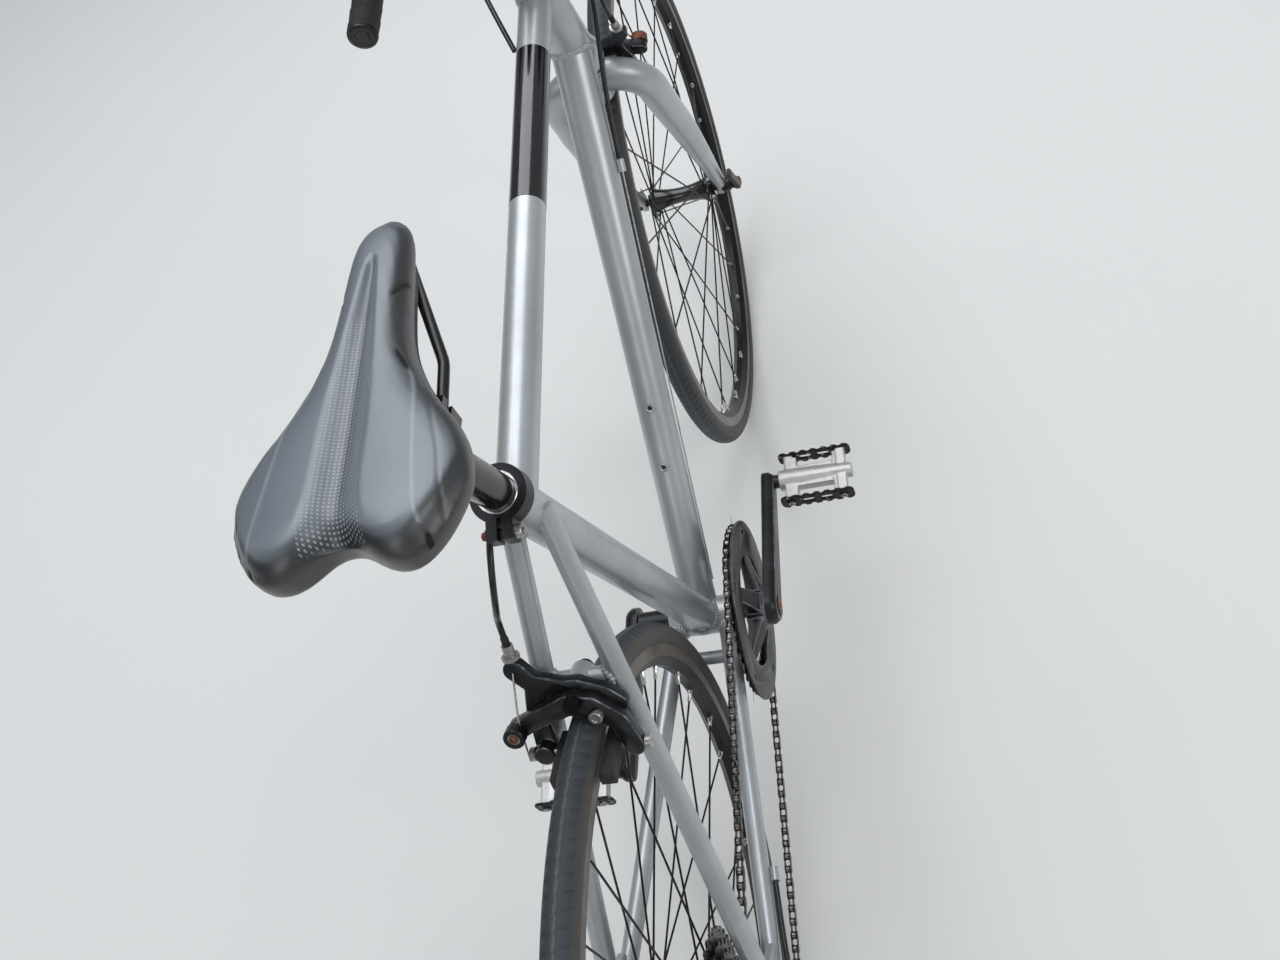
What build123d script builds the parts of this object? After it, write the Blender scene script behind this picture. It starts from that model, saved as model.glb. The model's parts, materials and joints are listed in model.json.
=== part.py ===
from build123d import *
import os
from math import asin, atan2, cos, degrees, hypot, pi, radians, sin, sqrt

os.makedirs("parts", exist_ok=True)

# A road bicycle. X runs forward, Y to the rider's left, Z up.
# The origin is the middle of the saddle's top. Lengths are millimetres, angles degrees.

# Frame geometry
saddle_height = 705.0        # saddle top above the bottom bracket
saddle_setback = 182.0       # saddle middle behind the bottom bracket
rear_centre = 401.7          # bottom bracket to rear axle, along the ground
front_centre = 596.3         # bottom bracket to front axle, along the ground
bracket_drop = 49.4          # bottom bracket below the axles
head_angle = 72.33
seat_angle = 73.6
rake = 45.4                  # front axle ahead of the steering axis
head_length = 151.0

# Frame tubes
head_d = 44.0
head_foot_d = 50.0
head_foot = 12.0
head_bore = 36.0
top_tube_d = 31.0
top_tube_drop = 30.0         # its axis below the head tube's top
down_tube_d = 37.0
down_tube_head_d = 42.0
down_tube_flare = 0.55       # share of its length that stays straight
down_tube_rise = 32.0        # its axis above the head tube's foot
seat_tube_d = 34.9
seat_tube_foot_d = 39.0
seat_tube_taper = 300.0      # height where its foot starts to widen
seat_flat = 3.6              # depth of the flat on its rear side, at the foot
cluster_height = 510.7       # where the top tube's axis meets the seat tube
seat_tube_rise = 30.3        # seat tube top above the cluster
stay_below = 15.7            # seat stays' axes below the cluster
post_d = 27.2
post_bore_depth = 160.0
seat_slit = 2.0
seat_slit_depth = 26.0
shell_d = 40.0
shell_width = 68.0
shell_bore = 34.0
chainstay_d = 20.0
chainstay_tip_d = 17.0
chainstay_half = 30.0        # half the gap between the stays' axes at the shell
seatstay_d = 17.0
seatstay_half = 13.0
dropout_half = 65.0          # half the rear hub's width
dropout_thick = 6.0
fork_half = 50.0             # half the front hub's width
bridge_d = 15.0
bridge_lug_d = 20.0
bridge_lug = 18.0
stay_bridge_ahead = 52.0     # chainstay bridge behind the bottom bracket
stay_bridge_d = 14.0

# Bottle bosses on the down tube
boss_first = 174.0
boss_pitch = 64.0
boss_d = 9.0
boss_height = 2.0
boss_bore = 5.0
boss_depth = 12.0

# Headset
cup_d = 49.0
cup_height = 5.0
top_cup_height = 7.0
bearing_gap = 0.5
race_height = 2.5
steerer_d = 28.6
spacer_d = 35.0
spacer_height = 22.0
spacer_count = 3
cap_height = 5.0

# Fork: one bent tube for each side, welded to a short column
column_d = 36.0
column_height = 54.0
shoulder_drop = 27.0         # the bent tubes' axis below the race
shoulder_d = 34.5
shoulder_half = 54.0         # where the bend ends, to each side
shoulder_radius = 51.0
blade_table = (
    # share of the way down from the shoulder, half spread, diameter
    (0, 54, 34.5), (0.16, 57, 33), (0.3, 59, 31), (0.48, 59, 27), (0.6, 58.5, 24), (0.78, 57, 19.5),
    (0.965, 54.5, 15),
)
rake_bend = 1.5              # how the forward curve gathers towards the tip
fork_tip_thick = 5.0

# Wheels
tyre_radius = 337.0
tyre_half = 13.5
rim_outer = 317.0
rim_depth = 20.0
rim_half = 10.5
rim_crown = 4.0
track_depth = 13.0
hub_flange = 36.0
rear_drive_flange = 15.0
flange_radius = 22.0
flange_thick = 3.0
hub_shoulder = 16.0
hub_waist = 10.0
axle_d = 10.0
axle_clearance = 0.3
spoke_d = 2.0
spoke_count = 32
spoke_lean = 68.0
nut_radius = 9.0
nut_height = 11.0
lever_length = 46.0

# Clearances over the tyre
fork_tyre_gap = 16.4         # to the bent tubes' underside
bridge_tyre_gap = 16.6       # to the brake bridge's axis
brake_track = 6.5            # middle of the rim's brake track below its edge

# Drive
chain_y = -50.0
chain_pitch = 12.7
ring_teeth = 44
cog_teeth = 14
pulley_teeth = 11
pulley_thick = 2.0
roller_d = 7.8
chain_height = 8.5
chain_width = 6.6
chain_slot = 3.2
plate_cover = 2.0            # the slot's floor above the pitch line
tooth_gap = 0.6
ring_thick = 2.0
ring_inner = 57.0
guard_radius = 95.5
guard_inner = 60.0
guard_thick = 2.5
guard_window = 12.0
guard_window_turn = 26.0
guard_window_radius = 74.0
guard_slot = 5.0
guard_slot_length = 13.0
guard_slot_radius = 83.0
spider_thick = 4.0
spider_arms = 5
spider_root_d = 44.0
spider_boss_d = 15.0
bolt_circle = 65.0
ring_bolt_d = 10.0
crank_length = 170.0
crank_angle = -7.4
crank_y = 77.0
crank_thick = 14.0
crank_root_d = 38.0
crank_tip_d = 25.0
crank_bevel = 6.0
crank_bevel_angle = 35.0
spindle_d = 17.0
cap_d = 20.0
cassette_table = (
    # teeth, across
    (34, -23.0), (29, -27.4), (25, -31.9), (21, -36.3), (18, -40.8), (16, -45.2),
)
cog_thick = 1.8
carrier_d = 34.0

# Rear derailleur
guide_pulley = (-383.0, -46.0)     # from the bottom bracket, along and up
tension_pulley = (-372.0, -121.0)
hanger_out = (6.0, -28.0)          # from the rear axle, along and up
cage_thick = 2.0
cage_half = 7.0
cage_end_d = 24.0
cage_window_d = 10.0
knuckle_d = 20.0
knuckle_out = 18.0
link_thick = 6.0

# Pedals
pedal_length = 84.0
pedal_gap = 6.0
pedal_depth = 62.0
pedal_height = 22.0
cage_plate = 3.0
pedal_arm = 10.0
pedal_barrel_d = 24.0
pedal_barrel_end_d = 17.0
pedal_pin_d = 10.0
pedal_tooth = 3.0
pedal_teeth = 6
pedal_bolt_d = 9.0

# Saddle
saddle_length = 254.0
saddle_width = 138.0
saddle_nose = 42.0
saddle_thick = 34.0
saddle_groove_d = 30.0
saddle_groove_depth = 5.0
saddle_notch_d = 44.0
shell_thick = 4.0
rail_d = 7.0
rail_half = 22.0
rail_height = 58.0           # rail axis below the saddle's top
rail_clamp = 26.0
rail_clamp_d = 24.0

# Seat clamp
clamp_height = 14.0
clamp_wall = 4.0
clamp_ear = 12.0
clamp_ear_thick = 8.0
clamp_ear_gap = 4.0
clamp_bolt_d = 8.0

# Handlebar
stem_length = 100.0
stem_rise = -6.0
stem_d = 32.0
stem_clamp = 40.0
stem_wall = 5.0
plate_split = 2.0
bar_d = 25.4
tape_d = 32.0
bar_half = 205.0
bar_drop = 122.0
bar_reach = 79.0
bar_back = 23.0              # drop's end behind the bar's middle
bar_bend = (35, 36, 50)
tape_start = 62.0
plug_height = 5.0
hood_width = 32.0
hood_lobes = ((70, 4, 36), (104, 14, 34), (120, 26, 26))      # forward, up, width
lever_lobes = (
    # forward, up, width
    (110, 8, 15), (121, -18, 14), (121, -46, 13), (111, -78, 12), (99, -106, 14),
)
lever_width = 12.0

# Brakes, seen square to the caliper: across and up from its bolt, then the width
far_arm = ((-42, 26, 17), (-32, 13, 15), (-10, 4, 18), (1, 2, 20), (20, -5, 17), (31, -13, 13))
far_leg = ((-31, 12, 14), (-37, -12, 13))
near_arm = ((-51, -20, 15), (-32, -12, 14), (-6, -3, 17), (12, -7, 18), (30, -22, 15))
far_thick = 9.0
near_thick = 10.0
arm_gap = 0.5
caliper_gap = 3.0            # from the mounting face to the far arm
bolt_d = 6.0
bolt_clearance = 0.4
bolt_head_d = 13.0
barrel_at = (-42.0, 35.0)
barrel_d = 9.0
barrel_height = 12.0
barrel_flange_d = 14.0
anchor_d = 16.0
anchor_height = 9.0
pivot_at = (15.0, -13.0)
pad_gap = 2.5                # pad to rim
pad_length = 50.0
pad_width = 12.0
pad_height = 10.0
pad_start = 1.0
holder_across = 36.0
holder_d = 16.0
pad_bolt_d = 6.0
pad_bolt_head_d = 11.0

# Cables
housing_d = 5.0
wire_d = 1.6
stop_d = 8.0
stop_length = 13.0
cord_gap = 0.3
down_stop_share = 0.80       # where the stop sits along the down tube
stay_stop_share = 0.78       # and along the right chainstay
# Routes as forward, left and up; from the bracket, or from the bar's middle
bar_to_top_tube_bar = ((-13, 60, -13), (-2, 60, -36), (-10, 58, -60))
bar_to_top_tube_frame = ((410, 53, 554), (370, 39, 541), (318, 18, 528))
down_stop_run = 60.0
bar_to_down_tube_bar = ((-13, -60, -13), (-16, -55, -36))
bar_to_down_tube_frame = ((434, -46, 536), (436, -35, 472))
front_brake_bar = ((12, -60, -12), (20, -54, -36), (24, -48, -82))
front_brake_lift = 40.0
rear_brake_lift = 22.0
rear_brake_frame = ((-84, 4, 487), (-125, 18.5, 480), (-165, 20, 489), (-192, 21, 476), (-204, 30, 446))
gear_loop = ((-402, -88, 62), (-452, -92, 42), (-464, -90, 0), (-442, -86, -32))

# Points that the whole frame hangs on
fork_length = (
    sqrt((tyre_radius + fork_tyre_gap) ** 2 - rake ** 2)
    + shoulder_d / 2 + shoulder_drop + bearing_gap + cup_height
)
bracket = Vector(saddle_setback, 0, -saddle_height)
rear_axle = bracket + Vector(-rear_centre, 0, bracket_drop)
front_axle = bracket + Vector(front_centre, 0, bracket_drop)
steer_up = Vector(-cos(radians(head_angle)), 0, sin(radians(head_angle)))
steer_fore = Vector(sin(radians(head_angle)), 0, cos(radians(head_angle)))
seat_up = Vector(-cos(radians(seat_angle)), 0, sin(radians(seat_angle)))
seat_fore = Vector(seat_up.Z, 0, -seat_up.X)
steer_foot = front_axle - steer_fore * rake
head_low = steer_foot + steer_up * fork_length
head_high = head_low + steer_up * head_length
top_tube_front = head_high - steer_up * top_tube_drop
down_tube_front = head_low + steer_up * down_tube_rise
cluster = bracket + seat_up * cluster_height
seat_tube_top = cluster + seat_up * seat_tube_rise
left = Vector(0, 1, 0)


def write(piece, node):
    """Label a finished piece and write its STEP file."""
    piece.part.label = node
    export_step(piece.part, f"parts/{node}.step")


def rod(start, end, start_d, end_d=None):
    """Round bar between two points, tapered where a second diameter is given."""
    with BuildPart() as bar:
        with BuildSketch(Plane(origin=start, z_dir=end - start)):
            Circle(start_d / 2)
        if end_d is None:
            extrude(amount=(end - start).length)
        else:
            with BuildSketch(Plane(origin=end, z_dir=end - start)):
                Circle(end_d / 2)
            loft()
    return bar.part


def block(start, end, width, height, end_width=None, end_height=None):
    """Square bar between two points, width along Y, tapered where asked."""
    with BuildPart() as bar:
        with BuildSketch(Plane(origin=start, x_dir=left, z_dir=end - start)):
            Rectangle(width, height)
        with BuildSketch(Plane(origin=end, x_dir=left, z_dir=end - start)):
            Rectangle(end_width or width, end_height or height)
        loft(ruled=True)
    return bar.part


def hose(points, radii, d):
    """Round hose along straight runs joined by tangent arcs."""
    with BuildPart() as tube:
        with BuildLine() as route:
            FilletPolyline(*points, radius=radii)
        with BuildSketch(Plane(origin=points[0], z_dir=points[1] - points[0])):
            Circle(d / 2)
        sweep(path=route.wires()[0])
    return tube.part


def arc_radii(points):
    """Largest tangent arc at each corner of a hose's route."""
    radii = []
    for before, corner, after in zip(points, points[1:], points[2:]):
        turn = radians((corner - before).get_angle(after - corner))
        run = min((corner - before).length, (after - corner).length)
        radii.append(0.45 * run * cos(turn / 2) / sin(turn / 2))
    return radii


def cable(node, points):
    """Cable housing along its route."""
    radii = arc_radii(points)
    print(node, "arc radii", [round(r, 1) for r in radii])
    with BuildPart() as housing:
        add(hose(points, radii, housing_d))
    write(housing, node)


def mirrored(point):
    return Vector(point.X, -point.Y, point.Z)


def across(point):
    """Plane through the wheel axis at a point: local x is Y, local y is up."""
    return Plane(origin=point, x_dir=(0, 1, 0), z_dir=(1, 0, 0))


def side(point, y=0.0):
    """Plane seen from the right: local x is forward, local y is up."""
    return Plane(origin=(point.X, y, point.Z), x_dir=(1, 0, 0), z_dir=(0, -1, 0))


def steering(height, y=0.0):
    """Plane along the steering axis: local x is forward, local y is up the axis."""
    origin = steer_foot + steer_up * height + left * y
    return Plane(origin=origin, x_dir=steer_fore, z_dir=(0, -1, 0))


def lobes(table, thick, plane):
    """Flat arm through a chain of round lobes: across, up and width of each."""
    with BuildPart() as piece:
        for (x0, y0, w0), (x1, y1, w1) in zip(table, table[1:]):
            with BuildSketch(plane):
                with Locations((x0, y0)):
                    Circle(w0 / 2)
                with Locations((x1, y1)):
                    Circle(w1 / 2)
                make_hull()
            extrude(amount=thick)
    return piece.part


def sprocket(teeth, plane, thick, inner_d):
    """Toothed wheel for the chain, its pitch circle from its number of teeth."""
    pitch = pitch_radius(teeth)
    with BuildPart() as wheel:
        with BuildSketch(plane):
            Circle(pitch + plate_cover - tooth_gap)
            with PolarLocations(pitch, teeth):
                Circle(roller_d / 2, mode=Mode.SUBTRACT)
            Circle(inner_d / 2, mode=Mode.SUBTRACT)
        extrude(amount=thick)
    return wheel.part


def pitch_radius(teeth):
    return chain_pitch / 2 / sin(pi / teeth)


steer_axis = Axis(steer_foot, steer_up)
head_solid = rod(head_low - steer_up * column_height, head_high + steer_up * column_height, head_d)
seat_solid = rod(bracket, seat_tube_top + seat_up * clamp_height, seat_tube_d)
shell_solid = rod(bracket - left * shell_width, bracket + left * shell_width, shell_d)

# Frame: head tube with its flared foot
with BuildPart() as head_tube:
    with BuildSketch(steering(fork_length)):
        with BuildLine():
            Polyline(
                (head_bore / 2, 0),
                (head_foot_d / 2, 0),
                (head_foot_d / 2, head_foot),
                (head_d / 2, 2 * head_foot),
                (head_d / 2, head_length),
                (head_bore / 2, head_length),
                close=True,
            )
        make_face()
    revolve(axis=steer_axis)
write(head_tube, "head_tube")

# Frame: seat tube, wider at its foot, with a flat that grows along its rear side,
# bored for the post and slit under the clamp
slit_foot = seat_tube_top - seat_up * seat_slit_depth
with BuildPart() as seat_tube:
    add(rod(bracket, bracket + seat_up * seat_tube_taper, seat_tube_foot_d, seat_tube_d))
    add(rod(bracket + seat_up * seat_tube_taper, seat_tube_top, seat_tube_d))
    with BuildSketch(Plane(origin=bracket + left * seat_tube_d, x_dir=seat_fore, z_dir=(0, -1, 0))):
        with BuildLine():
            Polyline(
                (seat_flat - seat_tube_foot_d / 2, 0),
                (-seat_tube_d / 2 - 0.1, seat_tube_taper),
                (-seat_tube_d, seat_tube_taper),
                (-seat_tube_d, 0),
                close=True,
            )
        make_face()
    extrude(amount=2 * seat_tube_d, mode=Mode.SUBTRACT)
    add(shell_solid, mode=Mode.SUBTRACT)
    add(
        rod(seat_tube_top - seat_up * post_bore_depth, seat_tube_top + seat_up, post_d + 0.4),
        mode=Mode.SUBTRACT,
    )
    add(
        block(slit_foot - seat_fore * seat_tube_d / 2, seat_tube_top - seat_fore * seat_tube_d / 2,
              seat_slit, seat_tube_d),
        mode=Mode.SUBTRACT,
    )
write(seat_tube, "seat_tube")

# Frame: top tube, mitred to the head tube and the seat tube, with the rear brake's cable hole
rear_brake_route = [bracket + Vector(*p) for p in rear_brake_frame]
with BuildPart() as top_tube:
    add(rod(cluster, top_tube_front, top_tube_d))
    add(head_solid, mode=Mode.SUBTRACT)
    add(seat_solid, mode=Mode.SUBTRACT)
    add(rod(rear_brake_route[0], rear_brake_route[1], housing_d + 2 * cord_gap), mode=Mode.SUBTRACT)
write(top_tube, "top_tube")

# Frame: down tube with two bottle bosses and the gear cable's stop
down_axis = (down_tube_front - bracket).normalized()
down_out = Vector(-down_axis.Z, 0, down_axis.X)
down_length = (down_tube_front - bracket).length
flare = bracket + down_axis * (down_length * down_tube_flare)
down_stop = bracket + down_axis * (down_length * down_stop_share)
down_stop_y = -(down_tube_head_d + housing_d) / 2
with BuildPart() as down_tube:
    add(rod(bracket, flare, down_tube_d))
    add(rod(flare, down_tube_front, down_tube_d, down_tube_head_d))
    for n in range(2):
        foot = bracket + down_axis * (boss_first + n * boss_pitch)
        add(rod(foot, foot + down_out * (down_tube_d / 2 + boss_height), boss_d))
    stop_low = down_stop + left * down_stop_y
    add(rod(stop_low - down_axis * stop_length, stop_low, stop_d))
    add(head_solid, mode=Mode.SUBTRACT)
    add(head_tube.part, mode=Mode.SUBTRACT)
    add(rod(head_low - steer_up * column_height, head_low, cup_d + 1), mode=Mode.SUBTRACT)
    add(shell_solid, mode=Mode.SUBTRACT)
    add(rod(bracket, bracket + seat_up * seat_tube_taper, seat_tube_foot_d, seat_tube_d),
        mode=Mode.SUBTRACT)
    for n in range(2):
        mouth = bracket + down_axis * (boss_first + n * boss_pitch)
        mouth += down_out * (down_tube_d / 2 + boss_height)
        add(rod(mouth - down_out * boss_depth, mouth + down_out, boss_bore), mode=Mode.SUBTRACT)
write(down_tube, "down_tube")

# Frame: bottom bracket shell and its cups
with BuildPart() as bottom_bracket_shell:
    with BuildSketch(side(bracket, shell_width / 2)):
        Circle(shell_d / 2)
        Circle(shell_bore / 2, mode=Mode.SUBTRACT)
    extrude(amount=shell_width)
write(bottom_bracket_shell, "bottom_bracket_shell")

with BuildPart() as bracket_cups:
    for hand in (1, -1):
        face = bracket + left * (hand * shell_width / 2)
        add(rod(face - left * (hand * 12), face, shell_bore))
        add(rod(face, face + left * (hand * 3), shell_d - 2))
        add(rod(face - left * (hand * 13), face + left * (hand * 4), spindle_d + 1), mode=Mode.SUBTRACT)
write(bracket_cups, "bracket_cups")

# Frame: rear dropouts, the right one with the derailleur hanger
hanger = rear_axle + Vector(hanger_out[0], 0, hanger_out[1])
with BuildPart() as rear_dropouts:
    for hand in (1, -1):
        inner = hand * dropout_half
        outer = hand * (dropout_half + dropout_thick)
        with BuildSketch(side(rear_axle, max(inner, outer))):
            Circle(14)
            with BuildLine():
                Polyline((-8, 10), (-6, 44), (10, 50), (52, 10), (50, -8), (8, -12), close=True)
            make_face()
            if hand < 0:
                with Locations(hanger_out):
                    Circle(knuckle_d / 2 - 1)
                with Locations((hanger_out[0], hanger_out[1] / 2)):
                    Rectangle(knuckle_d - 4, -hanger_out[1])
            Circle(axle_d / 2 + axle_clearance, mode=Mode.SUBTRACT)
            with Locations((20, 18)):
                Circle(6, mode=Mode.SUBTRACT)
        extrude(amount=dropout_thick)
write(rear_dropouts, "rear_dropouts")

# Frame: chainstays with the cable stop, seat stays and the brake bridge
stay_foot = rear_axle + Vector(26, 0, -3)
stay_top = rear_axle + Vector(11, 0, 27)
stay_half = dropout_half + dropout_thick / 2
right_stay = [bracket - left * (chainstay_half - 4) - Vector(2, 0, 0), stay_foot - left * stay_half]
stay_line = (right_stay[1] - right_stay[0]).normalized()
stay_out = Vector(-stay_line.Y, stay_line.X, 0).normalized()
stay_stop = right_stay[0] + (right_stay[1] - right_stay[0]) * stay_stop_share
stay_stop += stay_out * ((chainstay_d + housing_d) / 2)
stay_bridge = bracket + Vector(-stay_bridge_ahead, 0, 5)
with BuildPart() as chain_stays:
    for hand in (1, -1):
        start = bracket + Vector(-2, hand * (chainstay_half - 4), 0)
        end = stay_foot + left * (hand * stay_half)
        add(rod(start, end, chainstay_d, chainstay_tip_d))
    add(rod(stay_bridge - left * chainstay_half, stay_bridge + left * chainstay_half, stay_bridge_d))
    add(rod(stay_stop - stay_line * stop_length, stay_stop, stop_d))
    add(shell_solid, mode=Mode.SUBTRACT)
    add(rod(bracket, bracket + seat_up * seat_tube_taper, seat_tube_foot_d, seat_tube_d),
        mode=Mode.SUBTRACT)
    add(rear_dropouts.part, mode=Mode.SUBTRACT)
write(chain_stays, "chain_stays")

stay_head = cluster - seat_up * stay_below
with BuildPart() as seat_stays:
    for hand in (1, -1):
        start = stay_head + left * (hand * seatstay_half)
        end = stay_top + left * (hand * stay_half)
        add(rod(start, end, seatstay_d, seatstay_d + 2))
    add(seat_solid, mode=Mode.SUBTRACT)
    add(rear_dropouts.part, mode=Mode.SUBTRACT)
write(seat_stays, "seat_stays")

# The bridge crosses the stays at its own distance from the rear axle
stay_axis = (stay_top - stay_head).normalized()
stay_back = Vector(stay_axis.Z, 0, -stay_axis.X)
stay_run = (stay_head - rear_axle).dot(stay_axis)
stay_miss = (stay_head - rear_axle).dot(stay_back)
bridge_down = -stay_run - sqrt((tyre_radius + bridge_tyre_gap) ** 2 - stay_miss ** 2)
bridge_share = bridge_down / (stay_top - stay_head).length
bridge_half = seatstay_half + (stay_half - seatstay_half) * bridge_share
bridge = stay_head + stay_axis * bridge_down
lug_half = stay_back * (bridge_lug / 2)
with BuildPart() as brake_bridge:
    add(rod(bridge - left * bridge_half, bridge + left * bridge_half, bridge_d))
    add(rod(bridge - lug_half, bridge + lug_half, bridge_lug_d))
    add(seat_stays.part, mode=Mode.SUBTRACT)
    add(rod(bridge - lug_half * 2, bridge + lug_half * 2, bolt_d + bolt_clearance), mode=Mode.SUBTRACT)
write(brake_bridge, "brake_bridge")

# Frame: headset cups
with BuildPart() as headset_cups:
    for low, height, d in ((fork_length - cup_height, cup_height, cup_d),
                           (fork_length + head_length, top_cup_height, head_d)):
        with BuildSketch(Plane(origin=steer_foot + steer_up * low, x_dir=left, z_dir=steer_up)):
            Circle(d / 2)
            Circle(steerer_d / 2 + 1, mode=Mode.SUBTRACT)
        extrude(amount=height)
write(headset_cups, "headset_cups")

# Seat clamp: a collar with a lip over the tube's end, two ears behind and a bolt across
clamp_low = seat_tube_top - seat_up * (clamp_height - 2)
clamp_middle = seat_tube_top - seat_up * (clamp_height / 2 - 2)
collar_d = seat_tube_d + 2 * clamp_wall
ear_root = clamp_middle - seat_fore * (seat_tube_d / 2)
ear_end = clamp_middle - seat_fore * (collar_d / 2 + clamp_ear)
ear_bolt = clamp_middle - seat_fore * (collar_d / 2 + clamp_ear / 2)
ear_half = clamp_ear_gap / 2 + clamp_ear_thick
with BuildPart() as seat_clamp:
    add(rod(clamp_low, seat_tube_top + seat_up * 2, collar_d))
    add(block(ear_root, ear_end, 2 * ear_half, clamp_height))
    add(block(ear_root, ear_end - seat_fore, clamp_ear_gap, 2 * clamp_height),
        mode=Mode.SUBTRACT)
    add(rod(clamp_low - seat_up, seat_tube_top, seat_tube_d), mode=Mode.SUBTRACT)
    add(rod(seat_tube_top - seat_up, seat_tube_top + seat_up * 3, post_d + 0.4), mode=Mode.SUBTRACT)
    add(rod(ear_bolt - left * (ear_half + 3), ear_bolt + left * (ear_half + 1), clamp_bolt_d))
write(seat_clamp, "seat_clamp")

# Saddle: padded cover, shell under it, and rails
rail_z = -rail_height
shell_z = -saddle_thick - shell_thick


def saddle_outline(inset):
    """Half outline of the saddle, nose forward, as points for smooth arcs."""
    half = saddle_length / 2 - inset
    nose = saddle_nose / 2 - inset
    wide = saddle_width / 2 - inset
    return (
        (half, 0), (half - nose * 0.35, nose * 0.75), (half - nose * 1.2, nose),
        (0.36 * half, nose * 1.1), (0, nose * 1.55), (-0.3 * half, wide * 0.68), (-0.55 * half, wide * 0.93),
        (-0.75 * half, wide), (-0.93 * half, wide * 0.83), (-half, wide * 0.5), (-half, 0),
    )


def saddle_plate(inset, low, high):
    with BuildPart() as plate:
        with BuildSketch(Plane.XY.offset(low)):
            with BuildLine():
                Polyline(*saddle_outline(inset), close=True)
            make_face()
            mirror(about=Plane.XZ)
        extrude(amount=high - low)
    return plate.part


with BuildPart() as saddle_shell:
    add(saddle_plate(4, shell_z, shell_z + shell_thick))
    add(rod(Vector(-saddle_length / 2, 0, shell_z - 1), Vector(-saddle_length / 2, 0, 1), saddle_notch_d - 8),
        mode=Mode.SUBTRACT)
write(saddle_shell, "saddle_shell")

groove_z = saddle_groove_d / 2 - saddle_groove_depth
with BuildPart() as saddle:
    add(saddle_plate(0, -saddle_thick, 0))
    chamfer(saddle.faces().sort_by(Axis.Z)[-1].edges(), 8)
    add(rod(Vector(-saddle_length, 0, groove_z), Vector(0.3 * saddle_length, 0, groove_z), saddle_groove_d),
        mode=Mode.SUBTRACT)
    add(rod(Vector(-saddle_length / 2, 0, -saddle_thick - 1), Vector(-saddle_length / 2, 0, 1), saddle_notch_d),
        mode=Mode.SUBTRACT)
write(saddle, "saddle")

with BuildPart() as saddle_rails:
    for hand in (1, -1):
        points = (
            Vector(-0.40 * saddle_length, hand * 0.18 * saddle_width, shell_z),
            Vector(-0.36 * saddle_length, hand * 0.18 * saddle_width, rail_z),
            Vector(0.16 * saddle_length, hand * rail_half, rail_z),
            Vector(0.40 * saddle_length, hand * 0.08 * saddle_width, shell_z),
        )
        add(hose(points, [8, 25], rail_d))
    add(saddle_shell.part, mode=Mode.SUBTRACT)
write(saddle_rails, "saddle_rails")

# Seat post and the head that grips the rails
post_top = bracket + seat_up * ((rail_z - bracket.Z) / seat_up.Z)
post_head = post_top - seat_up * (rail_clamp_d / 2)
with BuildPart() as seat_post:
    add(rod(seat_tube_top - seat_up * (post_bore_depth - 20), post_head, post_d))
    add(rod(post_head - left * rail_clamp, post_head + left * rail_clamp, rail_clamp_d))
    for z, width, height in ((-11, 2 * rail_clamp, 14), (-3, rail_half, 14), (5, 2 * rail_clamp, 6)):
        add(block(post_top + Vector(-20, 0, z), post_top + Vector(20, 0, z), width, height))
    add(saddle_rails.part, mode=Mode.SUBTRACT)
write(seat_post, "seat_post")

# Fork: steerer, race and the short column that the bent tubes are welded to
crown_top = fork_length - cup_height - bearing_gap
race = steer_foot + steer_up * crown_top
fork_bolt = race - steer_up * shoulder_drop
with BuildPart() as fork_crown:
    add(rod(race - steer_up * race_height, race, cup_d - 2))
    add(rod(race - steer_up * column_height, race, column_d))
    add(rod(race - steer_up * column_height, head_high + steer_up * 60, steerer_d))
    add(rod(fork_bolt - steer_fore * column_d, fork_bolt + steer_fore * column_d, bolt_d + bolt_clearance),
        mode=Mode.SUBTRACT)
write(fork_crown, "fork_crown")

# Fork: the tubes leave the column sideways, bend down and taper to the tips
blade_top = crown_top - shoulder_drop - shoulder_half
with BuildPart() as fork_blades:
    for hand in (1, -1):
        bend = [
            fork_bolt,
            fork_bolt + left * (hand * shoulder_half),
            fork_bolt + left * (hand * shoulder_half) - steer_up * shoulder_half,
        ]
        add(hose(bend, [shoulder_radius], shoulder_d))
        for share, spread, d in blade_table:
            middle = steer_foot + steer_up * (blade_top * (1 - share)) + steer_fore * (rake * share ** rake_bend)
            with BuildSketch(
                Plane(origin=middle + left * (hand * spread), x_dir=left, z_dir=-steer_up)
            ):
                Circle(d / 2)
        loft(ruled=True)
        inner = hand * fork_half
        outer = hand * (fork_half + fork_tip_thick)
        with BuildSketch(side(front_axle, max(inner, outer))):
            Circle(11)
            with BuildLine():
                Polyline((-11, 0), (-12, 24), (2, 28), (11, 0), close=True)
            make_face()
        extrude(amount=fork_tip_thick)
    add(rod(race - steer_up * column_height, race, column_d), mode=Mode.SUBTRACT)
    add(rod(front_axle - left * 90, front_axle + left * 90, axle_d + 2 * axle_clearance),
        mode=Mode.SUBTRACT)
write(fork_blades, "fork_blades")

# Steering: spacers, stem and handlebar
spacer_low = fork_length + head_length + top_cup_height + bearing_gap
spacer_step = spacer_height / spacer_count
with BuildPart() as headset_spacers:
    low = steer_foot + steer_up * spacer_low
    add(rod(low, low + steer_up * spacer_height, spacer_d - 1))
    for n in range(spacer_count):
        foot = low + steer_up * (n * spacer_step + 0.4)
        add(rod(foot, foot + steer_up * (spacer_step - 0.8), spacer_d))
    add(rod(low - steer_up, low + steer_up * (spacer_height + 1), steerer_d), mode=Mode.SUBTRACT)
write(headset_spacers, "headset_spacers")

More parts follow.
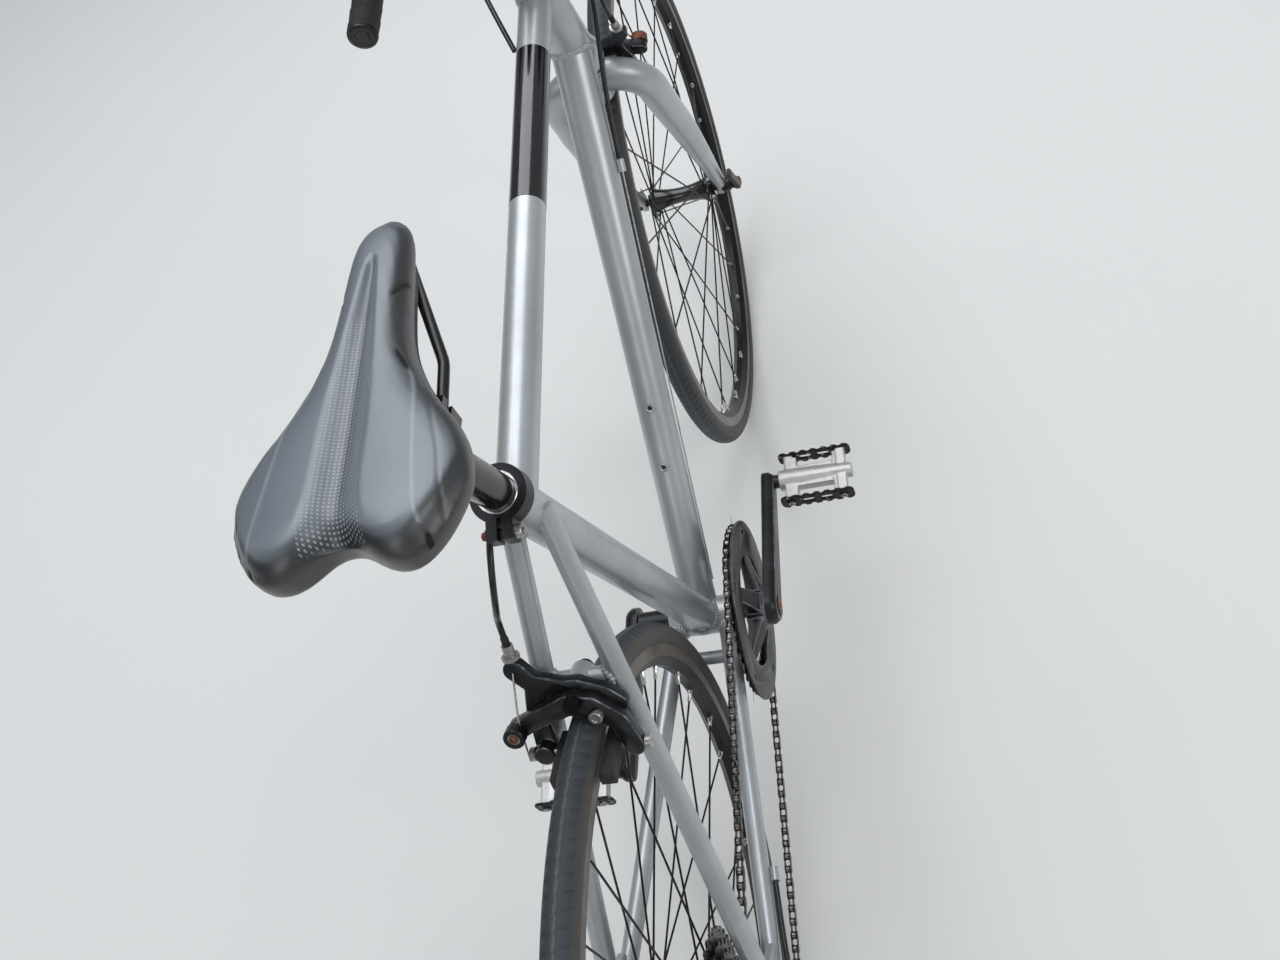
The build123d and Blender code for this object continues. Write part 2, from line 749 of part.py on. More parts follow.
stem_low = steer_foot + steer_up * (spacer_low + spacer_height)
stem_top = stem_low + steer_up * stem_clamp
stem_root = stem_low + steer_up * (stem_clamp / 2)
stem_tilt = radians(90 - head_angle + stem_rise)
stem_dir = Vector(cos(stem_tilt), 0, sin(stem_tilt))
bar_middle = stem_root + stem_dir * stem_length
stem_high = Vector(-stem_dir.Z, 0, stem_dir.X)
clamp_d = bar_d + 2 * stem_wall
with BuildPart() as stem:
    add(rod(stem_low, stem_top, steerer_d + 2 * stem_wall))
    add(block(stem_low + steer_up * 3 - steer_fore * 18, stem_top - steer_up * 3 - steer_fore * 18, 16, 12))
    add(rod(stem_root, bar_middle, stem_d))
    add(rod(bar_middle - left * stem_clamp / 2, bar_middle + left * stem_clamp / 2, clamp_d))
    for z in (1, -1):
        lug = bar_middle + stem_high * (z * (clamp_d / 2 + 1))
        add(block(lug - stem_dir * 9, lug + stem_dir * 9, stem_clamp, 8))
    add(rod(stem_low - steer_up, stem_top + steer_up, steerer_d), mode=Mode.SUBTRACT)
    add(rod(bar_middle - left * stem_clamp, bar_middle + left * stem_clamp, bar_d), mode=Mode.SUBTRACT)
    for z in (1, -1):
        split = bar_middle + stem_high * (z * (bar_d / 2 + 8)) + stem_dir * 2
        add(block(split, split + stem_dir * plate_split, stem_clamp + 2, 12.5), mode=Mode.SUBTRACT)
    add(rod(stem_top, stem_top + steer_up * cap_height, steerer_d + 7))
write(stem, "stem")

bar_corners = (
    # forward of the bar's middle, left, above
    (bar_reach, bar_half, -15),
    (bar_reach - 8, bar_half, -bar_drop + 7),
)
bar_tip = bar_middle + Vector(-bar_back, bar_half, -bar_drop)
bar_end_line = (bar_tip - bar_middle - Vector(*bar_corners[1])).normalized()


def bar_points(hand, start, reach=0.0):
    """Handlebar centre line from near the stem to the drop's end, or past it by reach."""
    points = [bar_middle + left * start, bar_middle + left * bar_half]
    points += [bar_middle + Vector(*corner) for corner in bar_corners]
    points.append(bar_tip + bar_end_line * reach)
    return [p if hand > 0 else mirrored(p) for p in points]


with BuildPart() as handlebar:
    route = bar_points(1, 0)[::-1][:-1] + bar_points(-1, 0)[1:]
    add(hose(route, list(bar_bend[::-1]) + list(bar_bend), bar_d))
write(handlebar, "handlebar")

with BuildPart() as bar_tape:
    for hand in (1, -1):
        add(hose(bar_points(hand, tape_start, plug_height), list(bar_bend), tape_d))
    add(handlebar.part, mode=Mode.SUBTRACT)
write(bar_tape, "bar_tape")

with BuildPart() as lever_hoods:
    for hand in (1, -1):
        face = bar_middle + left * (hand * bar_half + hood_width / 2)
        add(lobes(hood_lobes, hood_width, side(face, face.Y)))
        add(hose(bar_points(hand, tape_start), list(bar_bend), tape_d), mode=Mode.SUBTRACT)
write(lever_hoods, "lever_hoods")

with BuildPart() as brake_levers:
    for hand in (1, -1):
        face = bar_middle + left * (hand * bar_half + lever_width / 2)
        add(lobes(lever_lobes, lever_width, side(face, face.Y)))
    add(lever_hoods.part, mode=Mode.SUBTRACT)
write(brake_levers, "brake_levers")


def caliper(node, bolt, up, out, axle, depth):
    """Brake arms, pads and bolts about a bolt that points out of its mounting face."""
    plane = Plane(origin=bolt, x_dir=up.cross(out), z_dir=out)
    near = caliper_gap + far_thick + arm_gap
    arms_out = near + near_thick
    pad_out = near + near_thick / 2
    track = rim_outer - brake_track
    ahead = (bolt - axle).dot(out)
    reach = (bolt - axle).dot(up) - sqrt(track ** 2 - (ahead + pad_out) ** 2)
    tips = {-1: (-holder_across, -reach, holder_d), 1: (holder_across, -reach, holder_d)}
    pad_inner = rim_half + pad_gap

    def at(x, y, z):
        return plane.from_local_coords(Vector(x, y, z))

    with BuildPart() as arms:
        add(rod(at(0, 0, 0), at(0, 0, caliper_gap), bolt_head_d))
        add(lobes(far_arm, far_thick, plane.offset(caliper_gap)))
        add(lobes(far_leg + (tips[-1],), far_thick, plane.offset(caliper_gap)))
        add(rod(at(*tips[-1][:2], caliper_gap), at(*tips[-1][:2], arms_out), holder_d))
        add(lobes(near_arm + (tips[1],), near_thick, plane.offset(near)))
        add(rod(at(-2 * holder_across, -reach, pad_out), at(2 * holder_across, -reach, pad_out),
                pad_bolt_d + bolt_clearance), mode=Mode.SUBTRACT)
        add(rod(bolt, at(0, 0, 2 * arms_out), bolt_d + bolt_clearance), mode=Mode.SUBTRACT)
    write(arms, f"{node}_brake_arms")

    # The pads follow the rim, so they are turned about the axle
    turn = (ahead + pad_start) / track
    radial = up * cos(turn) + out * sin(turn)
    tangent = left.cross(radial)
    sweep_angle = degrees(pad_length / track)
    with BuildPart() as pads:
        with BuildSketch(Plane(origin=axle, x_dir=left, z_dir=tangent)):
            for hand in (1, -1):
                with Locations((hand * (pad_inner + pad_width / 2), track)):
                    Rectangle(pad_width, pad_height)
        revolve(axis=Axis(axle, left if tangent.dot(out) > 0 else -left), revolution_arc=sweep_angle)
    write(pads, f"{node}_brake_pads")

    with BuildPart() as bolts:
        add(rod(bolt - out * (depth + 3), at(0, 0, arms_out + 4), bolt_d))
        add(rod(bolt - out * (depth + 7), bolt - out * depth, bolt_head_d))
        add(rod(at(0, 0, arms_out), at(0, 0, arms_out + 6), bolt_head_d))
        for hand in (1, -1):
            foot = at(hand * (pad_inner + pad_width), -reach, pad_out)
            head = at(hand * (holder_across + holder_d / 2), -reach, pad_out)
            add(rod(foot, head, pad_bolt_d))
            add(rod(head, at(hand * (holder_across + holder_d / 2 + 4), -reach, pad_out), pad_bolt_head_d))
        barrel_z = caliper_gap + far_thick / 2
        add(rod(at(*barrel_at, barrel_z), at(barrel_at[0], barrel_at[1] + barrel_height, barrel_z), barrel_d))
        add(rod(at(*barrel_at, barrel_z), at(barrel_at[0], barrel_at[1] + 3, barrel_z), barrel_flange_d))
        add(rod(at(*near_arm[0][:2], arms_out), at(*near_arm[0][:2], arms_out + anchor_height), anchor_d))
        add(rod(at(*pivot_at, arms_out), at(*pivot_at, arms_out + 2.5), bolt_head_d - 2))
    write(bolts, f"{node}_brake_bolts")
    return at(barrel_at[0], barrel_at[1] + barrel_height, barrel_z)


front_bolt = fork_bolt + steer_fore * (column_d / 2)
front_barrel = caliper("front", front_bolt, steer_up, steer_fore, front_axle, column_d)
rear_bolt = bridge + stay_back * (bridge_lug / 2)
rear_barrel = caliper("rear", rear_bolt, -stay_axis, stay_back, rear_axle, bridge_lug)

# Wheels
rim_inner = rim_outer - rim_depth
for node, axle, drive_flange in (("front", front_axle, hub_flange), ("rear", rear_axle, rear_drive_flange)):
    wheel_axis = Axis(axle, left)
    half = dropout_half if node == "rear" else fork_half
    plate = dropout_thick if node == "rear" else fork_tip_thick

    with BuildPart() as tyre:
        with BuildSketch(across(axle)):
            with Locations((0, tyre_radius - tyre_half)):
                Circle(tyre_half)
            with Locations((0, rim_outer / 2)):
                Rectangle(2 * tyre_half, rim_outer, mode=Mode.SUBTRACT)
        revolve(axis=wheel_axis)
    write(tyre, f"{node}_tyre")

    with BuildPart() as rim:
        with BuildSketch(across(axle)):
            with BuildLine():
                Polyline(
                    (-rim_half, rim_outer), (-rim_half, rim_outer - track_depth), (-rim_crown, rim_inner),
                    (rim_crown, rim_inner), (rim_half, rim_outer - track_depth), (rim_half, rim_outer),
                    close=True,
                )
            make_face()
        revolve(axis=wheel_axis)
    write(rim, f"{node}_rim")

    # The hub's body narrows smoothly between its flanges
    with BuildPart() as hub:
        bore = axle_d / 2 + axle_clearance
        end = half - 5
        middle = (hub_flange - drive_flange) / 2
        with BuildSketch(across(axle)):
            with BuildLine():
                Polyline(
                    (-drive_flange, hub_shoulder), (-drive_flange, flange_radius),
                    (-drive_flange - flange_thick, flange_radius), (-drive_flange - flange_thick, hub_waist),
                    (-end, hub_waist), (-end, bore), (end, bore), (end, hub_waist),
                    (hub_flange + flange_thick, hub_waist), (hub_flange + flange_thick, flange_radius),
                    (hub_flange, flange_radius), (hub_flange, hub_shoulder),
                )
                ThreePointArc((hub_flange, hub_shoulder), (middle, hub_waist), (-drive_flange, hub_shoulder))
            make_face()
        revolve(axis=wheel_axis)
    write(hub, f"{node}_hub")

    with BuildPart() as spokes:
        for n in range(spoke_count):
            hand = 1 if n % 2 == 0 else -1
            flange = hub_flange if hand > 0 else -drive_flange
            outside = 1 if (n // 2) % 2 == 0 else -1
            lean = radians(spoke_lean) * outside
            seat = flange_thick / 2 + spoke_d / 2 + (1.0 if outside > 0 else 0.1)
            face = flange + hand * (flange_thick / 2 + outside * seat)
            turn = 2 * pi * n / spoke_count
            root = flange_radius - 3
            start = axle + Vector(root * cos(turn - lean), face, root * sin(turn - lean))
            tip = rim_inner - cord_gap
            spoke_end = axle + Vector(tip * cos(turn), hand * 2, tip * sin(turn))
            add(rod(start, spoke_end, spoke_d))
    write(spokes, f"{node}_spokes")

    # Quick release: nut on one side, cam and bent lever on the other
    with BuildPart() as skewer:
        face = half + plate
        add(rod(axle - left * face, axle + left * face, axle_d))
        for hand in (1, -1):
            add(rod(axle + left * (hand * face), axle + left * (hand * (face + nut_height)), 2 * nut_radius))
        hand = 1 if node == "rear" else -1
        cam = axle + left * (hand * (face + nut_height + 5))
        elbow = cam + Vector(-lever_length * 0.4, hand * 8, lever_length * 0.25)
        tip = elbow + Vector(-lever_length * 0.25, -hand * 4, lever_length * 0.75)
        add(rod(axle + left * (hand * (face + nut_height - 1)), cam + left * (hand * 5), 2 * nut_radius - 4))
        add(block(cam, elbow, 9, 12, 6, 11))
        add(block(elbow, tip, 6, 11, 5, 13))
    write(skewer, f"{node}_skewer")

with BuildPart() as cassette:
    for teeth, y in cassette_table + ((cog_teeth, chain_y),):
        add(sprocket(teeth, side(rear_axle, y + cog_thick / 2), cog_thick, carrier_d - 2))
    carrier = rear_axle + left * (cassette_table[0][1] + cog_thick / 2)
    add(rod(carrier, rear_axle + left * (chain_y - 5), carrier_d))
    add(rod(rear_axle, rear_axle + left * (chain_y - 6), 2 * hub_waist), mode=Mode.SUBTRACT)
write(cassette, "cassette")

# Drive: chainring, guard with its windows, spider and cranks
ring_radius = pitch_radius(ring_teeth)
arm_turn = crank_angle + 180 / spider_arms
with BuildPart() as chainring:
    add(sprocket(ring_teeth, side(bracket, chain_y + ring_thick / 2), ring_thick, 2 * ring_inner))
write(chainring, "chainring")

spider_y = chain_y - ring_thick / 2
guard_y = spider_y - spider_thick
with BuildPart() as chain_guard:
    with BuildSketch(side(bracket, guard_y)):
        Circle(guard_radius)
        Circle(guard_inner, mode=Mode.SUBTRACT)
        with PolarLocations(0, spider_arms, start_angle=crank_angle):
            SlotArc(
                CenterArc((0, 0), guard_window_radius, -guard_window_turn / 2, guard_window_turn),
                guard_window, mode=Mode.SUBTRACT,
            )
        with PolarLocations(guard_slot_radius, spider_arms, start_angle=arm_turn):
            SlotOverall(guard_slot_length, guard_slot, rotation=90, mode=Mode.SUBTRACT)
    extrude(amount=guard_thick)
write(chain_guard, "chain_guard")

crank_dir = Vector(cos(radians(crank_angle)), 0, sin(radians(crank_angle)))
pedal_at = {-1: bracket + crank_dir * crank_length, 1: bracket - crank_dir * crank_length}
crank_inner = crank_y - crank_thick / 2
crank_outer = crank_y + crank_thick / 2
spindle_half = crank_outer - 4


def crank(hand):
    """Crank arm on the given side, from spindle to pedal, its outer edges bevelled."""
    end = pedal_at[hand] - bracket
    start = bracket + left * (hand * crank_inner)
    plane = Plane(origin=start, x_dir=(1, 0, 0), z_dir=(0, hand, 0))
    with BuildPart() as piece:
        for low, thick, lean in ((0, crank_thick - crank_bevel, 0),
                                 (crank_thick - crank_bevel, crank_bevel, crank_bevel_angle)):
            with BuildSketch(plane.offset(low)):
                Circle(crank_root_d / 2)
                with Locations((end.X, -hand * end.Z)):
                    Circle(crank_tip_d / 2)
                make_hull()
            extrude(amount=thick, taper=lean)
    return piece.part


# Spider: a hub disc and arms that slope inwards to the chainring's bolts
with BuildPart() as right_crank:
    add(crank(-1))
    with BuildSketch(side(bracket, spider_y)):
        Circle(spider_root_d / 2)
    extrude(amount=crank_inner + spider_y)
    for n in range(spider_arms):
        turn = radians(arm_turn + 360 / spider_arms * n)
        reach = Vector(cos(turn), 0, sin(turn))
        root = bracket + reach * (spider_root_d / 2 - 8) + left * (spider_y - 10)
        tip = bracket + reach * bolt_circle + left * (spider_y - spider_thick / 2)
        add(block(root, tip, 18, 22, spider_thick, spider_boss_d))
        boss = bracket + reach * bolt_circle + left * spider_y
        add(rod(boss, boss - left * spider_thick, spider_boss_d))
    add(rod(bracket, bracket + left * spider_y, 4 * bolt_circle), mode=Mode.SUBTRACT)
    with BuildSketch(side(bracket, guard_y)):
        Circle(guard_radius)
        Circle(guard_inner, mode=Mode.SUBTRACT)
    extrude(amount=crank_thick, mode=Mode.SUBTRACT)
    add(rod(bracket, bracket - left * spindle_half, spindle_d), mode=Mode.SUBTRACT)
write(right_crank, "right_crank")

with BuildPart() as left_crank:
    add(crank(1))
    add(rod(bracket + left * (shell_width / 2 + 4), bracket + left * crank_outer, cap_d + 6))
    add(rod(bracket, bracket + left * spindle_half, spindle_d), mode=Mode.SUBTRACT)
write(left_crank, "left_crank")

with BuildPart() as crank_spindle:
    add(rod(bracket - left * spindle_half, bracket + left * spindle_half, spindle_d))
write(crank_spindle, "crank_spindle")

# Pedals on their pins: a barrel, two arms and a toothed plate in front and behind
with BuildPart() as pedal_pins:
    for hand in (1, -1):
        face = pedal_at[hand] + left * (hand * crank_outer)
        add(rod(face, face + left * (hand * (pedal_gap + pedal_length - 6)), pedal_pin_d))
        add(rod(face, face + left * (hand * (pedal_gap - 1)), pedal_pin_d + 6))
write(pedal_pins, "pedal_pins")

for hand, node in ((1, "left_pedal"), (-1, "right_pedal")):
    inner = pedal_at[hand] + left * (hand * (crank_outer + pedal_gap))
    outer = inner + left * (hand * pedal_length)
    centre = (inner + outer) / 2
    fore = Vector(pedal_depth / 2, 0, 0)
    with BuildPart() as pedal:
        add(rod(inner, outer, pedal_barrel_d, pedal_barrel_end_d))
        for share in (0.14, 0.86):
            arm = inner + (outer - inner) * share
            add(block(arm - fore * 0.98, arm + fore * 0.98, pedal_arm, pedal_height * 0.6))
        for front in (1, -1):
            face = centre + fore * front
            with BuildSketch(across(face)):
                RectangleRounded(pedal_length, pedal_height, pedal_height / 3)
                with GridLocations(pedal_length / (pedal_teeth + 1), pedal_height, pedal_teeth, 2):
                    Circle(pedal_tooth, mode=Mode.SUBTRACT)
                with GridLocations(pedal_length / 4, 0, 2, 1):
                    SlotOverall(pedal_length / 6, pedal_height / 4, mode=Mode.SUBTRACT)
            extrude(amount=-front * cage_plate)
            for share in (0.14, 0.86):
                seat = inner + (outer - inner) * share + fore * front
                add(rod(seat, seat + Vector(front * 2, 0, 0), pedal_bolt_d))
        add(rod(inner - left * hand, outer - left * (hand * 4), pedal_pin_d + 2 * axle_clearance),
            mode=Mode.SUBTRACT)
    write(pedal, node)

# Drive: chain as one fixed loop about the ring, the cog and the two pulleys
wraps = (
    # along, up, signed pitch radius; positive turns with the chainring
    (0, 0, ring_radius),
    (-rear_centre, bracket_drop, pitch_radius(cog_teeth)),
    (guide_pulley[0], guide_pulley[1], -pitch_radius(pulley_teeth)),
    (tension_pulley[0], tension_pulley[1], pitch_radius(pulley_teeth)),
)


def loop_points(extra):
    """Tangent points and arc middles of the chain's line, moved outwards by extra."""
    normals = []
    for (x0, z0, r0), (x1, z1, r1) in zip(wraps, wraps[1:] + wraps[:1]):
        heading = atan2(z1 - z0, x1 - x0)
        normals.append(heading - pi / 2 + asin((r0 - r1) / hypot(x1 - x0, z1 - z0)))
    spans = []
    for n, (x, z, r) in enumerate(wraps):
        start, end = normals[n - 1], normals[n]
        turn = (end - start) % (2 * pi) if r > 0 else -((start - end) % (2 * pi))
        reach = r + extra
        spans.append([(x + reach * cos(a), z + reach * sin(a)) for a in (start, start + turn / 2, end)])
    return spans


def loop_sketch(extra, y):
    """Area inside the chain's line, on the plane at the given place across."""
    with BuildSketch(side(bracket, y)) as outline:
        with BuildLine():
            spans = loop_points(extra)
            for span, following in zip(spans, spans[1:] + spans[:1]):
                ThreePointArc(*span)
                Line(span[2], following[0])
        make_face()
    return outline.sketch


with BuildPart() as chain:
    for wide, high, cut in ((chain_width, chain_height / 2, Mode.ADD), (chain_slot, plate_cover, Mode.SUBTRACT)):
        y = chain_y + wide / 2
        extrude(loop_sketch(high, y) - loop_sketch(-chain_height / 2, y), amount=wide, mode=cut)
write(chain, "chain")

# Rear derailleur: two knuckles joined by a pair of links, and the cage with its pulleys
guide = bracket + Vector(guide_pulley[0], 0, guide_pulley[1])
tension = bracket + Vector(tension_pulley[0], 0, tension_pulley[1])
knuckle = guide + left * (chain_y - cage_half - cage_thick - 1)
gear_end = knuckle + Vector(-26, -16, 10)
gear_last = bracket + Vector(*gear_loop[-1])
gear_in = (gear_end - gear_last).normalized()
with BuildPart() as derailleur_body:
    pin = hanger + left * (-dropout_half - dropout_thick)
    add(rod(pin, pin - left * knuckle_out, knuckle_d))
    add(rod(knuckle, knuckle - left * knuckle_out, knuckle_d))
    for y in (link_thick / 2 + 1, knuckle_out - link_thick / 2 - 1):
        add(block(pin - left * y, knuckle - left * y, link_thick, knuckle_d * 0.7))
    add(rod(gear_end, gear_end + gear_in * 24, stop_d))
write(derailleur_body, "derailleur_body")

with BuildPart() as derailleur_cage:
    for hand in (1, -1):
        with BuildSketch(side(bracket, chain_y + hand * cage_half + cage_thick / 2)):
            for place in (guide_pulley, tension_pulley):
                with Locations(place):
                    Circle(cage_end_d / 2)
            make_hull()
            with Locations(((guide_pulley[0] + tension_pulley[0]) / 2, (guide_pulley[1] + tension_pulley[1]) / 2)):
                Circle(cage_window_d / 2, mode=Mode.SUBTRACT)
        extrude(amount=cage_thick)
    for place in (guide, tension):
        add(rod(place + left * (chain_y - cage_half), place + left * (chain_y + cage_half), 8))
    add(sprocket(pulley_teeth, side(tension, chain_y + pulley_thick / 2), pulley_thick, 6))
    guide_d = 2 * (pitch_radius(pulley_teeth) - tooth_gap) - chain_height
    add(rod(guide + left * (chain_y - pulley_thick / 2), guide + left * (chain_y + pulley_thick / 2), guide_d))
write(derailleur_cage, "derailleur_cage")

# Cables: housings end in their stops, barrels and the frame's holes
shift_end = down_stop + left * down_stop_y + down_axis * cord_gap
wire_end = bracket + down_axis * 40 + left * (-down_tube_d / 2 - wire_d / 2 - cord_gap)
with BuildPart() as gear_wire:
    add(rod(down_stop + left * down_stop_y - down_axis * (stop_length + cord_gap), wire_end, wire_d))
write(gear_wire, "gear_wire")

gear_start = stay_stop + stay_line * cord_gap
gear_stretch = 45.0
cable("rear_gear_housing", [
    gear_start, gear_start + stay_line * gear_stretch,
    *[bracket + Vector(*p) for p in gear_loop], gear_end - gear_in * cord_gap,
])
rear_end = rear_barrel - stay_axis * cord_gap
cable("rear_brake_housing", rear_brake_route + [rear_end - stay_axis * rear_brake_lift, rear_end])
front_end = front_barrel + steer_up * cord_gap
cable("front_brake_housing", [
    *[bar_middle + Vector(*p) for p in front_brake_bar], front_end + steer_up * front_brake_lift, front_end,
])
cable("bar_to_top_tube_housing", [
    *[bar_middle + Vector(*p) for p in bar_to_top_tube_bar],
    *[bracket + Vector(*p) for p in bar_to_top_tube_frame],
])
cable("bar_to_down_tube_housing", [
    *[bar_middle + Vector(*p) for p in bar_to_down_tube_bar],
    *[bracket + Vector(*p) for p in bar_to_down_tube_frame], shift_end + down_axis * down_stop_run, shift_end,
])

places = {
    "bracket": bracket, "steer_foot": steer_foot, "steer_up": steer_up, "front_axle": front_axle,
    "rear_axle": rear_axle, "down_axis": down_axis, "down_out": down_out, "bar_middle": bar_middle,
    "front_bolt": front_bolt, "rear_bolt": rear_bolt, "bridge": bridge, "head_low": head_low,
    "seat_tube_top": seat_tube_top, "post_top": post_top, "stay_stop": stay_stop, "gear_end": gear_end,
}
for place, point in places.items():
    print(place, round(point.X, 3), round(point.Y, 3), round(point.Z, 3))
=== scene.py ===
import json
from math import asin, atan2, cos, exp, hypot, pi, radians, sin, sqrt

import bmesh
import bpy
from mathutils import Matrix, Vector


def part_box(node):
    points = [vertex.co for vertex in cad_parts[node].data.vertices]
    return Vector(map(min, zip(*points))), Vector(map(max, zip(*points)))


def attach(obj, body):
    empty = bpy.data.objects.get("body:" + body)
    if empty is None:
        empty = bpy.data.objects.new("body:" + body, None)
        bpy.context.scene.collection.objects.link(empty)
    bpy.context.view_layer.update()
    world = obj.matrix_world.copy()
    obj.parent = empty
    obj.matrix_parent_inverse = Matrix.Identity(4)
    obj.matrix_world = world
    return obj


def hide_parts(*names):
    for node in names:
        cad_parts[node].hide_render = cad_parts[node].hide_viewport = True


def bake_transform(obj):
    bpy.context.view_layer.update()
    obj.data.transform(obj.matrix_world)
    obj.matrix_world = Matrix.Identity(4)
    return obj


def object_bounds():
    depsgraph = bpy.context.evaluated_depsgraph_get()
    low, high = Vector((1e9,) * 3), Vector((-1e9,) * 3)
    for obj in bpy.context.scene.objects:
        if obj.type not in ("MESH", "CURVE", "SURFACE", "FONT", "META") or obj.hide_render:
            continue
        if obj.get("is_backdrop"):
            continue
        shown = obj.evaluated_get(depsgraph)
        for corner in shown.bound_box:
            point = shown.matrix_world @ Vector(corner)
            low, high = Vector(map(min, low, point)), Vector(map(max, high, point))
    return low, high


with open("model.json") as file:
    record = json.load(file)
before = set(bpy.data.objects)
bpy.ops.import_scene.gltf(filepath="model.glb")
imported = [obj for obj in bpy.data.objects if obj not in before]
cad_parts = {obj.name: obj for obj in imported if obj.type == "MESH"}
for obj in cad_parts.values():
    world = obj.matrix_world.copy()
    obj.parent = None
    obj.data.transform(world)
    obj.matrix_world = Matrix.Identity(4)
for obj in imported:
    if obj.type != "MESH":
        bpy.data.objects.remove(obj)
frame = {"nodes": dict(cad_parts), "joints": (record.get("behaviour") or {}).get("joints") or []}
cad_low, cad_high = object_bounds()

scene = bpy.context.scene
nodes = frame["nodes"]
joint_at = {joint["name"]: Vector(joint["pos_m"]) for joint in frame["joints"]}
left = Vector((0, 1, 0))

# The camera is held high behind the saddle on the rider's right, tipped steeply down and
# rolled so that the bicycle runs up the picture. Its place was fitted to the wheels and tubes.
camera_place = Vector((-0.41707, -0.32095, 0.46046))
camera_ahead = Vector((0.583572, 0.268147, -0.766512))
picture_down = Vector((-0.811990, 0.180136, -0.555179))
picture_width, picture_height = 1280, 960
picture_middle = (630.3, 414.2)
focal_pixels = 1228.4
sensor_width = 36.0

camera_data = bpy.data.cameras.new("camera")
camera_data.sensor_width = sensor_width
camera_data.lens = focal_pixels / picture_width * sensor_width
camera_data.shift_x = (picture_width / 2 - picture_middle[0]) / picture_width
camera_data.shift_y = (picture_middle[1] - picture_height / 2) / picture_width
camera = bpy.data.objects.new("camera", camera_data)
camera_axes = Matrix((picture_down.cross(camera_ahead), -picture_down, -camera_ahead)).transposed()
camera.matrix_world = Matrix.Translation(camera_place) @ camera_axes.to_4x4()
scene.collection.objects.link(camera)
scene.camera = camera
scene.view_settings.view_transform = "Standard"

# Studio: a pale matte floor under the tyres, an even pale surround that is brighter overhead,
# and soft lamps above and to the sides, so that the round tubes carry broad soft highlights.
floor_half = 7.0
floor_colour = "#E4E4E2"
surround_low = "#C2C5C8"
surround_high = "#E9EEF4"
surround_strength = 0.52
surround_left = 0.22
lamps = (
    # name, place, width, length, watts, colour
    ("lamp_overhead", (1.25, 0.1, 2.1), 2.4, 2.8, 66.0, "#F8FAFF"),
    ("lamp_right", (-0.8, -2.8, 1.5), 1.6, 1.6, 26.0, "#FFFFFF"),
    ("lamp_left", (0.4, 3.0, 1.2), 1.6, 1.6, 7.0, "#FFFFFF"),
    ("lamp_rear", (-2.6, 0.2, 1.4), 1.4, 1.4, 12.0, "#FFFFFF"),
)


def linear(code):
    """A hex colour as it is seen, turned to the linear values that a socket takes."""
    shares = [int(code[n:n + 2], 16) / 255 for n in (1, 3, 5)]
    return [s / 12.92 if s <= 0.04045 else ((s + 0.055) / 1.055) ** 2.4 for s in shares] + [1.0]


def add_node(tree, kind, inputs=None, **settings):
    """Add a node with its settings; an input is a value, a socket, or a node whose result is linked."""
    made = tree.nodes.new("ShaderNode" + kind)
    for name, value in settings.items():
        setattr(made, name, value)
    for name, value in (inputs or {}).items():
        if isinstance(value, bpy.types.Node):
            value = next(socket for socket in value.outputs if socket.enabled)
        if isinstance(value, bpy.types.NodeSocket):
            tree.links.new(value, made.inputs[name])
        else:
            made.inputs[name].default_value = value
    return made


def start_material(name):
    """An empty node material, and where its surface's place is read from."""
    material = bpy.data.materials.new(name)
    material.use_nodes = True
    tree = material.node_tree
    tree.nodes.clear()
    return material, tree, add_node(tree, "TexCoord").outputs["Object"]


def end_material(tree, colour, height, depth, wear, smooth, rough, span=(0.3, 0.8), **settings):
    """Close a node material: a bump of a real depth, a gloss that wear dulls, shader and output."""
    bump = add_node(tree, "Bump", {"Height": height, "Distance": depth})
    limits = {"From Min": span[0], "From Max": span[1], "To Min": smooth, "To Max": rough}
    gloss = add_node(tree, "MapRange", {"Value": wear, **limits})
    inputs = {"Base Color": colour, "Roughness": gloss, "Normal": bump, **settings}
    shader = add_node(tree, "BsdfPrincipled", inputs)
    add_node(tree, "OutputMaterial", {"Surface": shader})


def link_piece(name, bm, material, crease=35.0):
    """Close a mesh into an object at the origin, its faces outwards, smooth up to a crease."""
    bmesh.ops.remove_doubles(bm, verts=bm.verts, dist=1e-6)
    bmesh.ops.recalc_face_normals(bm, faces=bm.faces)
    mesh = bpy.data.meshes.new(name)
    bm.to_mesh(mesh)
    bm.free()
    mesh.shade_smooth()
    mesh.set_sharp_from_angle(angle=radians(crease))
    mesh.materials.append(material)
    piece = bpy.data.objects.new(name, mesh)
    scene.collection.objects.link(piece)
    return piece


# Matt paint scatters all light, so that only soft shadows show on it
floor_paint, tree, place = start_material("matte_floor")
shader = add_node(tree, "BsdfDiffuse", {"Color": linear(floor_colour), "Roughness": 0.5})
add_node(tree, "OutputMaterial", {"Surface": shader})
bm = bmesh.new()
bmesh.ops.create_grid(
    bm, x_segments=1, y_segments=1, size=floor_half, matrix=Matrix.Translation((0, 0, cad_low.z))
)
floor = link_piece("floor", bm, floor_paint)
floor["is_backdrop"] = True

world = bpy.data.worlds.new("studio")
world.use_nodes = True
tree = world.node_tree
tree.nodes.clear()
direction = add_node(tree, "TexCoord").outputs["Generated"]
height = add_node(tree, "SeparateXYZ", {"Vector": direction})
share = add_node(tree, "MapRange", {"Value": height.outputs["Z"], "From Min": -0.2, "From Max": 0.9})
shaded = add_node(
    tree, "MapRange",
    {"Value": height.outputs["Y"], "From Min": 0.25, "From Max": 0.8, "To Min": surround_strength,
     "To Max": surround_left},
)
tint = add_node(
    tree, "Mix", {0: share, 6: linear(surround_low), 7: linear(surround_high)}, data_type="RGBA",
)
seen = add_node(tree, "LightPath").outputs["Is Camera Ray"]
strength = add_node(tree, "MapRange", {"Value": seen, "To Min": shaded, "To Max": 1.0})
sky = add_node(tree, "Background", {"Color": tint, "Strength": strength})
add_node(tree, "OutputWorld", {"Surface": sky})
scene.world = world

